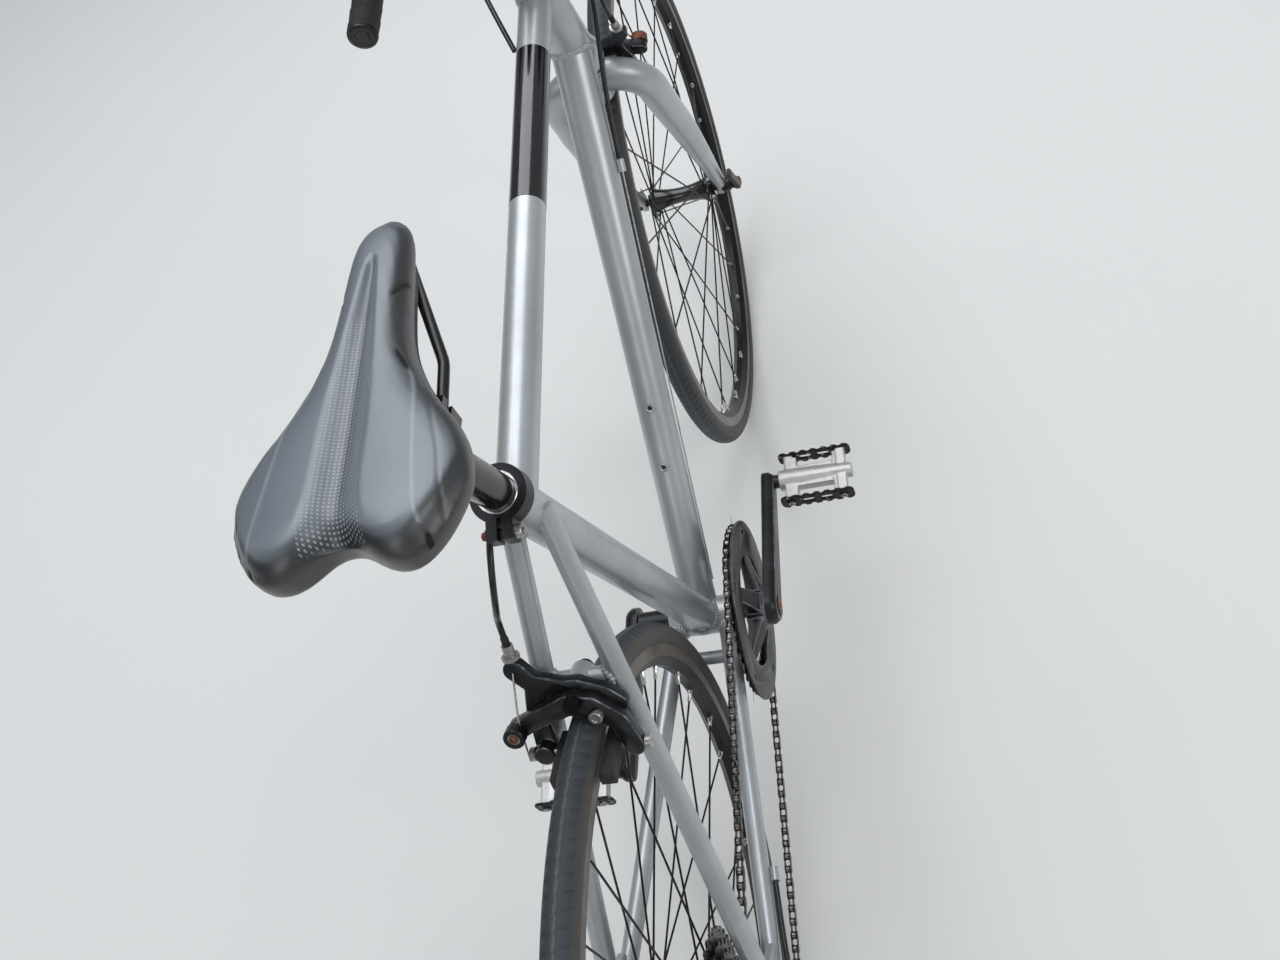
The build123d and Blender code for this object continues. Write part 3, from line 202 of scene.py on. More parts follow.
for name, spot, width, length, watts, colour in lamps:
    lamp_data = bpy.data.lights.new(name, "AREA")
    lamp_data.shape = "RECTANGLE"
    lamp_data.size, lamp_data.size_y = width, length
    lamp_data.energy = watts
    lamp_data.color = linear(colour)[:3]
    lamp = bpy.data.objects.new(name, lamp_data)
    lamp.location = spot
    lamp.rotation_euler = (Vector((0.2, 0, -0.5)) - Vector(spot)).to_track_quat("-Z", "Y").to_euler()
    scene.collection.objects.link(lamp)

# Frame and fork tubes: drawn aluminium, welded, then sprayed with a satin silver metallic
# lacquer. The flake gives a fine sparkle, and road dust leaves it a little warmer in patches.
paint_colour = "#B3B7BA"
paint_dust = "#9D9F9E"
paint_flake = 0.0007
paint_patch = 0.11
paint_grain = 0.00002

# Metal flake under clear lacquer: soft wide highlights. The real flake, about 0.05 mm, would be too
# fine to show, so it is drawn at 0.7 mm
satin_paint, tree, place = start_material("satin_silver_paint")
patch = add_node(
    tree, "TexNoise", {"Vector": place, "Scale": 1 / paint_patch, "Detail": 6.0, "Roughness": 0.6}
)
dust = add_node(tree, "MapRange", {"Value": patch, "From Min": 0.42, "From Max": 0.78})
flake = add_node(tree, "TexNoise", {"Vector": place, "Scale": 1 / paint_flake, "Detail": 1.0})
sparkle = add_node(
    tree, "MapRange", {"Value": flake, "From Min": 0.3, "From Max": 0.7, "To Min": 0.9, "To Max": 1.06},
)
lacquer = add_node(tree, "Mix", {0: dust, 6: linear(paint_colour), 7: linear(paint_dust)}, data_type="RGBA")
flaked = add_node(tree, "VectorMath", {0: lacquer, "Scale": sparkle}, operation="SCALE")
end_material(
    tree, flaked, flake, paint_grain, patch, 0.34, 0.46, **{"Coat Weight": 0.35, "Coat Roughness": 0.16},
    Metallic=0.55,
)


def dress(material, *names):
    """Give CAD nodes their finish."""
    for name in names:
        nodes[name].data.materials.clear()
        nodes[name].data.materials.append(material)


dress(
    satin_paint, "head_tube", "top_tube", "down_tube", "seat_tube", "bottom_bracket_shell",
    "chain_stays", "seat_stays", "brake_bridge", "rear_dropouts", "fork_crown", "fork_blades",
)

# Weld beads: laid by hand in overlapping puddles round each joint of the tubes, so they stand
# up like a row of fish scales, and are painted over with the frame.
bracket = joint_at["crank_spin"]
rear_axle = joint_at["rear_wheel_spin"]
front_axle = joint_at["front_wheel_spin"]
steer_foot = joint_at["steering_turn"]
steer_up = next(Vector(j["axis"]) for j in frame["joints"] if j["name"] == "steering_turn")
steer_fore = Vector((steer_up.z, 0, -steer_up.x))
seat_angle = radians(73.6)
head_rise = 0.400222
head_length = 0.151
cluster_height = 0.5107
crown_drop = 0.0325
seat_tube_rise = 0.0303
top_tube_drop = 0.030
down_tube_rise = 0.032
stay_drop = 0.0157
seat_up = Vector((-cos(seat_angle), 0, sin(seat_angle)))
seat_fore = Vector((seat_up.z, 0, -seat_up.x))
head_low = steer_foot + steer_up * head_rise
head_high = head_low + steer_up * head_length
cluster = bracket + seat_up * cluster_height
seat_tube_top = cluster + seat_up * seat_tube_rise
top_tube_front = head_high - steer_up * top_tube_drop
down_tube_front = head_low + steer_up * down_tube_rise
stay_head = cluster - seat_up * stay_drop
dropout_half = 0.065
dropout_thick = 0.006
stay_half = dropout_half + dropout_thick / 2
stay_top = rear_axle + Vector((0.011, 0, 0.027))
stay_foot = rear_axle + Vector((0.026, 0, -0.003))
stay_axis = (stay_top - stay_head).normalized()
stay_back = Vector((stay_axis.z, 0, -stay_axis.x))
bridge = Vector((-0.035584, 0, -0.353715))
fork_bolt = head_low - steer_up * crown_drop
puddle_pitch = 0.0028
puddle_width = 0.0076
puddle_height = 0.0026
puddle_lap = 0.85
buried = 0.0015
tubes = {
    # a point on the axis, where it runs, radius
    "head": (head_low, head_high - head_low, 0.022),
    "top": (cluster, top_tube_front - cluster, 0.0155),
    "top_rear": (top_tube_front, cluster - top_tube_front, 0.0155),
    "down": (bracket, down_tube_front - bracket, 0.0205),
    "down_foot": (down_tube_front, bracket - down_tube_front, 0.0185),
    "seat": (bracket, seat_tube_top - bracket, 0.01745),
    "seat_foot": (seat_tube_top, bracket - seat_tube_top, 0.0193),
    "shell": (bracket, left, 0.020),
    "column": (fork_bolt, steer_up, 0.018),
}
for hand in (1, -1):
    stay_start = stay_head + left * (hand * 0.013)
    stay_end = stay_top + left * (hand * stay_half)
    tubes[f"seat_stay_{hand}"] = (stay_end, stay_start - stay_end, 0.0085)
    tubes[f"seat_stay_back_{hand}"] = (stay_start, stay_end - stay_start, 0.0088)
    chain_start = stay_foot + left * (hand * stay_half)
    chain_end = bracket + Vector((-0.002, hand * 0.026, 0))
    tubes[f"chain_stay_{hand}"] = (chain_start, chain_end - chain_start, 0.010)
    tubes[f"bridge_{hand}"] = (bridge, left * hand, 0.0075)
    tubes[f"blade_{hand}"] = (fork_bolt + left * (hand * 0.05), left * -hand, 0.01725)
frame_joints = (
    # the tube that ends, the tube that it meets
    ("top", "head"), ("down", "head"), ("top_rear", "seat"), ("seat_stay_1", "seat"),
    ("seat_stay_-1", "seat"), ("down_foot", "shell"), ("seat_foot", "shell"), ("chain_stay_1", "shell"),
    ("chain_stay_-1", "shell"), ("bridge_1", "seat_stay_back_1"), ("bridge_-1", "seat_stay_back_-1"),
)
fork_joints = (("blade_1", "column"), ("blade_-1", "column"))


def facing(spot, ahead, side=None):
    """A frame at a spot whose z runs ahead, and whose x leans to the given side."""
    z = Vector(ahead).normalized()
    near = Vector(side) if side is not None else (left if abs(z.y) < 0.9 else Vector((1, 0, 0)))
    y = z.cross(near).normalized()
    return Matrix.Translation(spot) @ Matrix((y.cross(z), y, z)).transposed().to_4x4()


def off_axis(point, tube):
    """How far a point lies from a tube's axis, as a vector."""
    start, run, radius = tube
    along = run.normalized()
    return (point - start) - along * (point - start).dot(along)


def lay_bead(bm, tube, other):
    """Puddles of weld round the line where a tube first meets another."""
    start, run, radius = tube
    along = run.normalized()
    axes = facing(start, along)
    other_along = other[1].normalized()
    count = round(2 * pi * radius / puddle_pitch)
    ring = []
    for n in range(count):
        turn = 2 * pi * n / count
        outward = axes.to_3x3() @ Vector((cos(turn), sin(turn), 0))
        edge = start + outward * radius
        slope = along - other_along * along.dot(other_along)
        offset = off_axis(edge, other)
        reach = slope.dot(offset) ** 2 - slope.dot(slope) * (offset.dot(offset) - other[2] ** 2)
        if reach < 0:
            continue
        point = edge + along * ((-slope.dot(offset) - sqrt(reach)) / slope.dot(slope))
        ring.append((point, (outward + off_axis(point, other).normalized()).normalized()))
    for (before, _), (point, normal) in zip(ring[-1:] + ring[:-1], ring):
        if (point - before).length > 4 * puddle_pitch:
            continue
        if any(off_axis(point, t).length < t[2] - buried and t not in (tube, other)
               for t in tubes.values() if 0 < (point - t[0]).dot(t[1]) < t[1].length_squared):
            continue
        axes = facing(point, normal, (point - before).normalized())
        size = Matrix.Diagonal((puddle_pitch * puddle_lap, puddle_width / 2, puddle_height, 1))
        bmesh.ops.create_icosphere(bm, subdivisions=2, radius=1, matrix=axes @ size)


def fit(piece, body, node=None):
    """Let a piece ride on a body, and let it stand for a CAD node."""
    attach(piece, body)
    if node:
        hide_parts(node)


for name, pairs, body in (("frame_welds", frame_joints, "frame"), ("fork_welds", fork_joints, "steering")):
    bm = bmesh.new()
    for tube, other in pairs:
        lay_bead(bm, tubes[tube], tubes[other])
    fit(link_piece(name, bm, satin_paint, 60), body)

# Top tube band: a wrap of glossy black vinyl, pressed round the tube, with clean square ends.
# Only its edges stand up from the paint.
band_rear_x = 0.311
band_front_x = 0.487
band_thick = 0.00015
band_colour = "#0B0B0E"
band_ripple = 0.012
band_ripple_depth = 0.00012
band_scuff = 0.03


def lathe(bm, profile, axes, steps, closed=False):
    """Turn a profile of radius and height pairs about a frame's z."""
    verts = [bm.verts.new(axes @ Vector((radius, 0, along))) for radius, along in profile]
    pairs = list(zip(verts, verts[1:])) + ([(verts[-1], verts[0])] if closed else [])
    edges = [bm.edges.new(pair) for pair in pairs]
    bmesh.ops.spin(
        bm, geom=verts + edges, cent=axes.translation, axis=axes.to_3x3().col[2],
        angle=2 * pi, steps=steps, use_merge=True,
    )


def turn_piece(name, material, body, profile, places, steps, closed=False):
    """A piece that is one profile turned about each of some places."""
    bm = bmesh.new()
    for axes in places:
        lathe(bm, profile, axes, steps, closed)
    fit(link_piece(name, bm, material), body)


# Calendered film: deep black with sharp highlights that waver as the film does
gloss_vinyl, tree, place = start_material("glossy_black_vinyl")
ripple = add_node(tree, "TexNoise", {"Vector": place, "Scale": 1 / band_ripple, "Detail": 2.0})
scuff = add_node(tree, "TexNoise", {"Vector": place, "Scale": 1 / band_scuff, "Detail": 7.0})
end_material(
    tree, linear(band_colour), ripple, band_ripple_depth, scuff, 0.12, 0.3, span=(0.4, 0.8),
    **{"Coat Weight": 0.6, "Coat Roughness": 0.08},
)
top_run = (top_tube_front - cluster).normalized()
band_start = cluster + top_run * ((band_rear_x - cluster.x) / top_run.x)
band_length = (band_front_x - band_rear_x) / top_run.x
top_radius = tubes["top"][2]
band_profile = (
    (top_radius, 0), (top_radius + band_thick, band_thick),
    (top_radius + band_thick, band_length - band_thick), (top_radius, band_length),
)
turn_piece(
    "top_tube_band", gloss_vinyl, "frame", band_profile, [facing(band_start, top_run)], 96
)

# Saddle cover: foam under thin black synthetic leather, stretched tight over two rear lobes. Its upper
# side is painted paler as a sheen of the sky, a channel with printed dots runs down it, and a seam parts
# off its sides.
saddle_low, saddle_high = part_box("saddle")
saddle_yaw = radians(2.9)
saddle_pivot = Vector((-0.005, 0, 0))
saddle_shift = Vector((0.0085, 0.0075, 0.0008))
saddle_plan = (
    # forward of the middle, half width
    (-0.088, 0.0722), (-0.073, 0.0716), (-0.060, 0.0685), (-0.045, 0.0615), (-0.030, 0.0517),
    (-0.015, 0.0427), (0.0, 0.0360), (0.013, 0.0314), (0.027, 0.0283), (0.044, 0.0264),
    (0.062, 0.0252), (0.082, 0.0240), (0.102, 0.0223), (0.116, 0.0192), (0.125, 0.0152),
    (0.1305, 0.0102), (0.1345, 0.0053), (0.1360, 0.0),
)
rear_plan = (
    # off the middle, where the cover ends behind
    (-0.006, -0.1180), (0.0, -0.1175), (0.006, -0.1180), (0.014, -0.1222), (0.022, -0.1275),
    (0.031, -0.1312), (0.040, -0.1318), (0.048, -0.1285), (0.056, -0.1212), (0.0625, -0.1118),
    (0.068, -0.1005), (0.0722, -0.0880),
)
saddle_top = (
    # forward of the middle, how high its middle line would be without the channel
    (-0.133, 0.0030), (-0.10, 0.0018), (-0.06, -0.0012), (-0.02, -0.0038), (0.05, -0.0080), (0.10, -0.0120),
    (0.137, -0.0180),
)
edge_roll = 0.0165
rear_roll_length = 0.024
nose_roll_length = 0.026
saddle_foot = saddle_low.z + 0.001
nose_ease = 1.15
side_roll = 2.8
channel_plan = (
    # forward of the middle, half width, depth
    (-0.127, 0.0200, 0.0090), (-0.105, 0.0168, 0.0082), (-0.084, 0.0142, 0.0075), (-0.045, 0.0134, 0.0066),
    (-0.010, 0.0118, 0.0060), (0.037, 0.0084, 0.0052), (0.060, 0.0060, 0.0046), (0.082, 0.0038, 0.0034),
    (0.092, 0.0022, 0.0),
)
seam_plan = (
    # forward of the middle, off the middle
    (-0.118, 0.0590), (-0.100, 0.0590), (-0.071, 0.0560), (-0.043, 0.0490), (-0.028, 0.0440),
    (-0.006, 0.0345), (0.020, 0.0262), (0.043, 0.0240),
)
crease_plan = (
    # forward of the middle, off the middle
    (-0.116, 0.0490), (-0.100, 0.0465), (-0.068, 0.0430), (-0.035, 0.0395), (-0.015, 0.0350),
    (-0.004, 0.0300),
)
seam_half = 0.0010
seam_depth = 0.0007
crease_height = 0.0003
dots_end = 0.037
slits = (
    # forward of the middle, off the middle, how far it runs, lean
    (0.0600, 0.0190, 0.0075, 0.35), (0.0000, 0.0275, 0.0090, -0.50), (-0.1225, 0.0510, 0.0040, 0.10),
)
slit_depth = 0.0009
slit_half = 0.0013
foam_voxel = 0.0026
foam_pressure = 4.0
foam_steps = 20
foam_cap = 0.0012
foam_shrink = 0.0010
cover_colour = "#16181B"
cover_scuffed = "#24282C"
# painted sheen: the pale blue-grey given to the cover where it faces up, standing for the sky's reflection
cover_sheen = "#5B636B"
dot_colour = "#8A929A"
# painted highlight along the raised crease
crease_highlight_colour = "#868E96"
# painted shade: the near-black drawn inside each slit's gap
slit_shade_colour = "#060607"
cover_patch = 0.035
pebble_size = 0.0011
pebble_depth = 0.00005
dot_pitch = 0.0023
dot_height = 0.00030
dot_radius = 0.30


def follow(table, x, column=1):
    """Read a table's column at x, along a smooth curve through its rows."""
    if x <= table[0][0]:
        return table[0][column]
    last = len(table) - 1
    for n in range(last):
        if x <= table[n + 1][0]:
            wide = table[n + 1][0] - table[n][0]
            share = (x - table[n][0]) / wide
            a, b, c, d = (table[min(last, max(0, m))] for m in (n - 1, n, n + 1, n + 2))
            into = (c[column] - a[column]) / (c[0] - a[0]) * wide
            out = (d[column] - b[column]) / (d[0] - b[0]) * wide
            return (
                b[column] + share * into + share ** 2 * (3 * (c[column] - b[column]) - 2 * into - out)
                + share ** 3 * (2 * (b[column] - c[column]) + into + out)
            )
    return table[-1][column]


def step(low, high, value):
    """0 below low, 1 above high, and an eased rise between them."""
    share = min(1.0, max(0.0, (value - low) / (high - low)))
    return share * share * (3 - 2 * share)


def saddle_spot(ahead, aside):
    """A spot of the saddle's top from two shares: -1 to 1 along it and across it."""
    nose = saddle_plan[-1][0]
    rear = follow(rear_plan, abs(aside) * rear_plan[-1][0])
    share = (ahead + 1) / 2
    x = rear + (1 - (1 - share) ** nose_ease) * (nose - rear)
    behind = max(0.0, 1 - (x - rear) / rear_roll_length)
    before = max(0.0, 1 - (nose - x) / nose_roll_length)
    edge = min(1.0, abs(aside) ** side_roll + behind ** 2 + before ** 2)
    drop = edge_roll * (1 - sqrt(1 - edge))
    return Vector((x, aside * follow(saddle_plan, x), follow(saddle_top, x) - drop))


def yawed(spot):
    """The saddle is clamped a little askew, its nose to the left."""
    return saddle_pivot + Matrix.Rotation(saddle_yaw, 3, "Z") @ (spot - saddle_pivot) + saddle_shift


def corners(made):
    """The corners among what an operator gives back."""
    return [part for part in made if isinstance(part, bmesh.types.BMVert)]


# A soft sheen breaks up over the pebble, which is drawn about twice as coarse as a real one
leather, tree, place = start_material("synthetic_leather")
pebble = add_node(tree, "TexVoronoi", {"Vector": place, "Scale": 1 / pebble_size}, feature="SMOOTH_F1")
wear = add_node(tree, "TexNoise", {"Vector": place, "Scale": 1 / cover_patch, "Detail": 6.0})
straight = add_node(
    tree, "Mapping", {"Vector": place, "Rotation": (0, 0, -saddle_yaw)}, vector_type="POINT"
)
dots = add_node(
    tree, "TexVoronoi", {"Vector": straight, "Scale": 1 / dot_pitch, "Randomness": 0.0},
    voronoi_dimensions="2D",
)
dot = add_node(tree, "MapRange", {"Value": dots, "From Min": dot_radius, "From Max": dot_radius - 0.08})
marks = {
    name: add_node(tree, "Attribute", attribute_name=name).outputs["Fac"]
    for name in ("panel", "cut", "crease", "sky_sheen")
}
dotted = add_node(tree, "Math", {0: dot, 1: marks["panel"]}, operation="MULTIPLY")
scuffed = add_node(tree, "MapRange", {"Value": wear, "From Min": 0.45, "From Max": 0.75})
cover = add_node(
    tree, "Mix", {0: scuffed, 6: linear(cover_colour), 7: linear(cover_scuffed)}, data_type="RGBA",
)
# painted sheen of the sky on the upward-facing cover, weaker in the channel
sheen_lit = add_node(tree, "Mix", {0: marks["sky_sheen"], 6: cover, 7: linear(cover_sheen)}, data_type="RGBA")
printed = add_node(tree, "Mix", {0: dotted, 6: sheen_lit, 7: linear(dot_colour)}, data_type="RGBA")
# painted highlight: the crease's ridge is drawn paler
crease_highlit = add_node(
    tree, "Mix", {0: marks["crease"], 6: printed, 7: linear(crease_highlight_colour)}, data_type="RGBA"
)
# painted shade inside the slits
slit_shaded = add_node(tree, "Mix", {0: marks["cut"], 6: crease_highlit, 7: linear(slit_shade_colour)}, data_type="RGBA")
pebbled = add_node(tree, "Bump", {"Height": pebble, "Distance": pebble_depth})
raised = add_node(tree, "Bump", {"Height": dotted, "Distance": dot_height, "Normal": pebbled})
worn_gloss = add_node(
    tree, "MapRange", {"Value": wear, "From Min": 0.3, "From Max": 0.8, "To Min": 0.34, "To Max": 0.46},
)
gloss = add_node(tree, "Math", {0: worn_gloss, 1: marks["cut"]}, operation="MAXIMUM")
coat = add_node(tree, "MapRange", {"Value": marks["cut"], "To Min": 0.6, "To Max": 0.0})
shader = add_node(
    tree, "BsdfPrincipled",
    {"Base Color": slit_shaded, "Roughness": gloss, "Normal": raised,
     "Specular IOR Level": 0.7, "Coat Weight": coat, "Coat Roughness": 0.42},
)
add_node(tree, "OutputMaterial", {"Surface": shader})

bm = bmesh.new()
bmesh.ops.create_grid(bm, x_segments=110, y_segments=56, size=1)
for vert in bm.verts:
    vert.co = saddle_spot(vert.co.x, vert.co.y)
bmesh.ops.remove_doubles(bm, verts=bm.verts, dist=0.0002)
middle = Vector(((saddle_low.x + saddle_high.x) / 2, 0, 0))
for fall, pull in ((0.25, 1.0), (0.55, 0.99), (0.8, 0.97), (1.0, 0.93)):
    rim_edges = [edge for edge in bm.edges if edge.is_boundary]
    made = bmesh.ops.extrude_edge_only(bm, edges=rim_edges)["geom"]
    high = follow(saddle_top, 0) - edge_roll
    for vert in corners(made):
        vert.co.z = high + (saddle_foot - high) * fall
        vert.co.x = middle.x + (vert.co.x - middle.x) * (1 - (1 - pull) * 0.4)
        vert.co.y *= pull
bmesh.ops.holes_fill(bm, edges=[edge for edge in bm.edges if edge.is_boundary], sides=0)
bmesh.ops.triangulate(bm, faces=[face for face in bm.faces if len(face.verts) > 4])
saddle = link_piece("saddle_cover", bm, leather, 180)


def settle(piece, *modifiers):
    """Apply modifiers, each given as its kind and settings; the piece keeps its material."""
    material = piece.data.materials[0]
    for kind, settings in modifiers:
        added = piece.modifiers.new(kind, kind)
        for name, value in settings.items():
            setattr(added, name, value)
    done = bpy.data.meshes.new_from_object(piece.evaluated_get(bpy.context.evaluated_depsgraph_get()))
    piece.modifiers.clear()
    piece.data = done
    done.materials.clear()
    done.materials.append(material)
    done.shade_smooth()


settle(
    saddle, ("REMESH", {"mode": "VOXEL", "voxel_size": foam_voxel}),
    ("SMOOTH", {"factor": 0.5, "iterations": 6}),
)
for vert in saddle.data.vertices:
    vert.co -= vert.normal * foam_shrink
before = [vert.co.copy() for vert in saddle.data.vertices]
cloth = saddle.modifiers.new("foam", "CLOTH")
cloth.settings.use_pressure = True
cloth.settings.uniform_pressure_force = foam_pressure
cloth.settings.tension_stiffness = 40
cloth.settings.compression_stiffness = 40
cloth.settings.bending_stiffness = 8
cloth.settings.effector_weights.gravity = 0
for number in range(1, foam_steps + 1):
    scene.frame_set(number)
settle(saddle)
scene.frame_set(1)
for vert, start in zip(saddle.data.vertices, before):
    move = vert.co - start
    vert.co = start + move * min(1.0, foam_cap / max(move.length, 1e-9))
settle(saddle, ("SMOOTH", {"factor": 0.5, "iterations": 3}), ("SUBSURF", {"levels": 1, "render_levels": 1}))
for name in marks:
    saddle.data.attributes.new(name, "FLOAT", "POINT")
marked = {name: saddle.data.attributes[name].data for name in marks}
upward = [vert.normal.z for vert in saddle.data.vertices]
for vert, up in zip(saddle.data.vertices, upward):
    spot, aside = vert.co, abs(vert.co.y)
    in_channel = 1 - step(0.0, 0.9 * follow(channel_plan, spot.x), aside)
    in_channel *= step(0.0, 0.0035, follow(channel_plan, spot.x, 2))
    # painted sheen: paler where the cover faces up, less of it in the channel
    marked["sky_sheen"][vert.index].value = step(0.7, 0.99, up) * (1 - 0.55 * in_channel)
    if up > 0.05 and spot.z > saddle_foot + 0.004:
        wide, deep = follow(channel_plan, spot.x), follow(channel_plan, spot.x, 2)
        sink = deep * (1 - step(0.05 * wide, 1.2 * wide, aside))
        sink *= step(0.05, 0.5, up)
        inside = (1 - step(0.98 * wide, 1.06 * wide, aside)) * (
            1 - step(dots_end - 0.001, dots_end + 0.001, spot.x)
        )
        inside *= step(0.3, 0.6, up)
        cut = crease = 0.0
        if seam_plan[0][0] < spot.x < seam_plan[-1][0]:
            sink += seam_depth * exp(-((aside - follow(seam_plan, spot.x)) / seam_half) ** 2)
        if crease_plan[0][0] < spot.x < crease_plan[-1][0]:
            crease = exp(-((aside - follow(crease_plan, spot.x)) / seam_half) ** 2)
            sink -= crease_height * crease
        for ahead, off, run, lean in slits:
            along = ((spot.x - ahead) + (aside - off) * lean) / hypot(1, lean)
            over = ((aside - off) - (spot.x - ahead) * lean) / hypot(1, lean)
            cut += exp(-((over / slit_half) ** 2)) * exp(-((along / run) ** 4))
        marked["panel"][vert.index].value = inside
        # the cut mask also carries the painted shade inside the slits
        marked["cut"][vert.index].value = min(1.0, 2.0 * cut)
        # the crease mask carries the painted highlight along the ridge
        marked["crease"][vert.index].value = crease * 0.6
        vert.co.z -= sink + slit_depth * cut
    vert.co = yawed(vert.co)
settle(saddle, ("SMOOTH", {"factor": 0.5, "iterations": 3}))
fit(saddle, "frame", "saddle")

# Saddle base and rails: the base is a stiff black nylon moulding under the foam, and the two
# rails under it are one bent steel rod each, enamelled black, pushed into its sockets. The saddle's
# yaw turns them too, and each rail's rear bend is kept short of the cover's notch.
base_top = -0.0335
base_thick = 0.0045
base_share = 0.76
base_shorter = 0.80
base_ahead = 0.010
rail_bend_x = -0.040
rail_bend_share = 0.75


# Real grains, under 0.1 mm, would be too fine to show, so each is drawn at 0.4 to 1.2 mm
def worn_finish(name, fresh, worn, patch, grain_size, grain_depth, smooth, rough, **settings):
    """A surface that wanders between two tones, with a grain and a gloss of its own."""
    material, tree, place = start_material(name)
    wear = add_node(
        tree, "TexNoise", {"Vector": place, "Scale": 1 / patch, "Detail": 7.0, "Roughness": 0.62}
    )
    share = add_node(tree, "MapRange", {"Value": wear, "From Min": 0.46, "From Max": 0.72})
    tone = add_node(tree, "Mix", {0: share, 6: linear(fresh), 7: linear(worn)}, data_type="RGBA")
    grain = add_node(tree, "TexNoise", {"Vector": place, "Scale": 1 / grain_size, "Detail": 3.0})
    end_material(tree, tone, grain, grain_depth, wear, smooth, rough, **settings)
    return material


def copy_node(node, name, material, *modifiers, edge=0.0, rim=None, sharp=38.0):
    """A finished copy of a CAD node: merged, its edges rounded, then shaped by modifiers."""
    bm = bmesh.new()
    bm.from_mesh(nodes[node].data)
    bmesh.ops.remove_doubles(bm, verts=bm.verts, dist=1e-5)
    if edge:
        bmesh.ops.dissolve_limit(bm, angle_limit=radians(0.6), verts=bm.verts, edges=bm.edges)
        hard = [e for e in bm.edges if e.is_manifold and e.calc_face_angle() > radians(sharp)]
        bmesh.ops.bevel(
            bm, geom=hard, offset=edge, segments=2, profile=0.5, affect="EDGES", clamp_overlap=False,
            material=1 if rim else -1,
        )
    piece = link_piece(name, bm, material)
    if rim:
        piece.data.materials.append(rim)
    if modifiers:
        settle(piece, *modifiers)
    return piece


def forged(voxel, passes):
    """Modifiers that round a part's edges as a forging's are."""
    return (
        ("REMESH", {"mode": "VOXEL", "voxel_size": voxel}),
        ("SMOOTH", {"factor": 0.5, "iterations": passes}),
    )


# Moulding leaves nylon faintly grained and dull; enamel lies on steel as a thin glossy skin
moulded_nylon = worn_finish("moulded_nylon", "#141415", "#242424", 0.03, 0.0009, 0.00006, 0.42, 0.6)
black_enamel = worn_finish("black_enamelled_steel", "#101112", "#1D1C1B", 0.02, 0.001, 0.00003, 0.22, 0.4)
bm = bmesh.new()
bmesh.ops.create_grid(bm, x_segments=64, y_segments=24, size=1)
for vert in bm.verts:
    spot = saddle_spot(vert.co.x, vert.co.y)
    vert.co = yawed(Vector((spot.x * base_shorter + base_ahead, spot.y * base_share, base_top)))
bmesh.ops.remove_doubles(bm, verts=bm.verts, dist=0.0003)
bmesh.ops.recalc_face_normals(bm, faces=bm.faces)
bmesh.ops.solidify(bm, geom=bm.faces[:], thickness=base_thick)
saddle_base = link_piece("saddle_base", bm, moulded_nylon)
lowest = min(vert.co.z for vert in saddle_base.data.vertices)
for vert in saddle_base.data.vertices:
    vert.co.z += base_top - base_thick - lowest
fit(saddle_base, "frame", "saddle_shell")
rails = copy_node("saddle_rails", "saddle_rail_rods", black_enamel)
rail_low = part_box("saddle_rails")[0].z + 0.004
for vert in rails.data.vertices:
    vert.co.x += max(0.0, rail_bend_x - vert.co.x) * (1 - rail_bend_share)
    share = min(1.0, max(0.0, (vert.co.z - rail_low) / (base_top - base_thick - rail_low)))
    vert.co = yawed(vert.co) - saddle_shift * (1 - share)
fit(rails, "frame", "saddle_rails")

# Seat post, clamp and headset: turned and forged aluminium, anodised black. The post is polished
# bright black, the rest is satin, and a silver shim shows as a thin ring between post and tube.
# Dye in a polished oxide skin gives a deep black mirror whose brown tint is a painted reflection, over a
# blasted one a soft sheen
# the brown in these blacks is a painted reflection on a black post
post_black = worn_finish(
    "polished_black_anodised", "#130E0B", "#241B15", 0.02, 0.0012, 0.00002, 0.14, 0.26,
    **{"Coat Weight": 0.3, "Coat Roughness": 0.08},
)
satin_black = worn_finish(
    "satin_black_anodised", "#1A1B1D", "#2F3032", 0.012, 0.0006, 0.00004, 0.3, 0.48, Metallic=0.45
)
# Bare polished metal is bright, and dulls to grey where hands and weather reach it
polished_alloy = worn_finish(
    "polished_aluminium", "#C9CACA", "#A4A4A2", 0.01, 0.0008, 0.00002, 0.18, 0.34, Metallic=1.0
)
dress(post_black, "seat_post")
dress(satin_black, "seat_clamp", "headset_cups", "headset_spacers")
post_radius = 0.0136
shim_wall = 0.0018
shim_height = 0.0042
shim_inner = post_radius + 0.0002
shim_profile = (
    (shim_inner, 0), (shim_inner + shim_wall, 0), (shim_inner + shim_wall, shim_height - 0.0004),
    (shim_inner + shim_wall - 0.0004, shim_height), (shim_inner, shim_height),
)
turn_piece(
    "seat_post_shim", polished_alloy, "frame", shim_profile,
    [facing(seat_tube_top, seat_up)], 64, closed=True,
)

# Tyres: black rubber on a cotton casing, 27 mm wide. Short slanted sipes cross the shoulders and
# a fine zigzag runs round the crown. The tread is worn blue-grey, and the sides are dusty.
tyre_radius = 0.337
tyre_half = 0.0135
rim_outer = 0.317
sipe_count = 180
sipe_steps = 4
sipe_depth = 0.0007
sipe_shear = 1.6
sipe_band = (radians(17), radians(58))
zigzag_depth = 0.0005
profile_steps = 40
tyre_edge = radians(118)
zigzag_edge = radians(3.2)
zigzag_swing = 0.0013
tread_edge = radians(70)
tread_colours = ("#202427", "#3D4349")
side_colours = ("#262422", "#55504A")
groove_colour = "#5E646A"
rubber_patch = 0.02
rubber_grain = 0.0012
rubber_depth = 0.00008


def offset_nodes(tree, place, centre):
    """How far a spot is from a wheel's axis, and its distance from the wheel's middle plane."""
    offset = add_node(tree, "VectorMath", {0: place, 1: centre}, operation="SUBTRACT")
    parts = add_node(tree, "SeparateXYZ", {"Vector": offset})
    flat = add_node(tree, "CombineXYZ", {"X": parts.outputs["X"], "Z": parts.outputs["Z"]})
    radius = add_node(tree, "VectorMath", {0: flat}, operation="LENGTH")
    aside = add_node(tree, "Math", {0: parts.outputs["Y"]}, operation="ABSOLUTE")
    return radius, aside


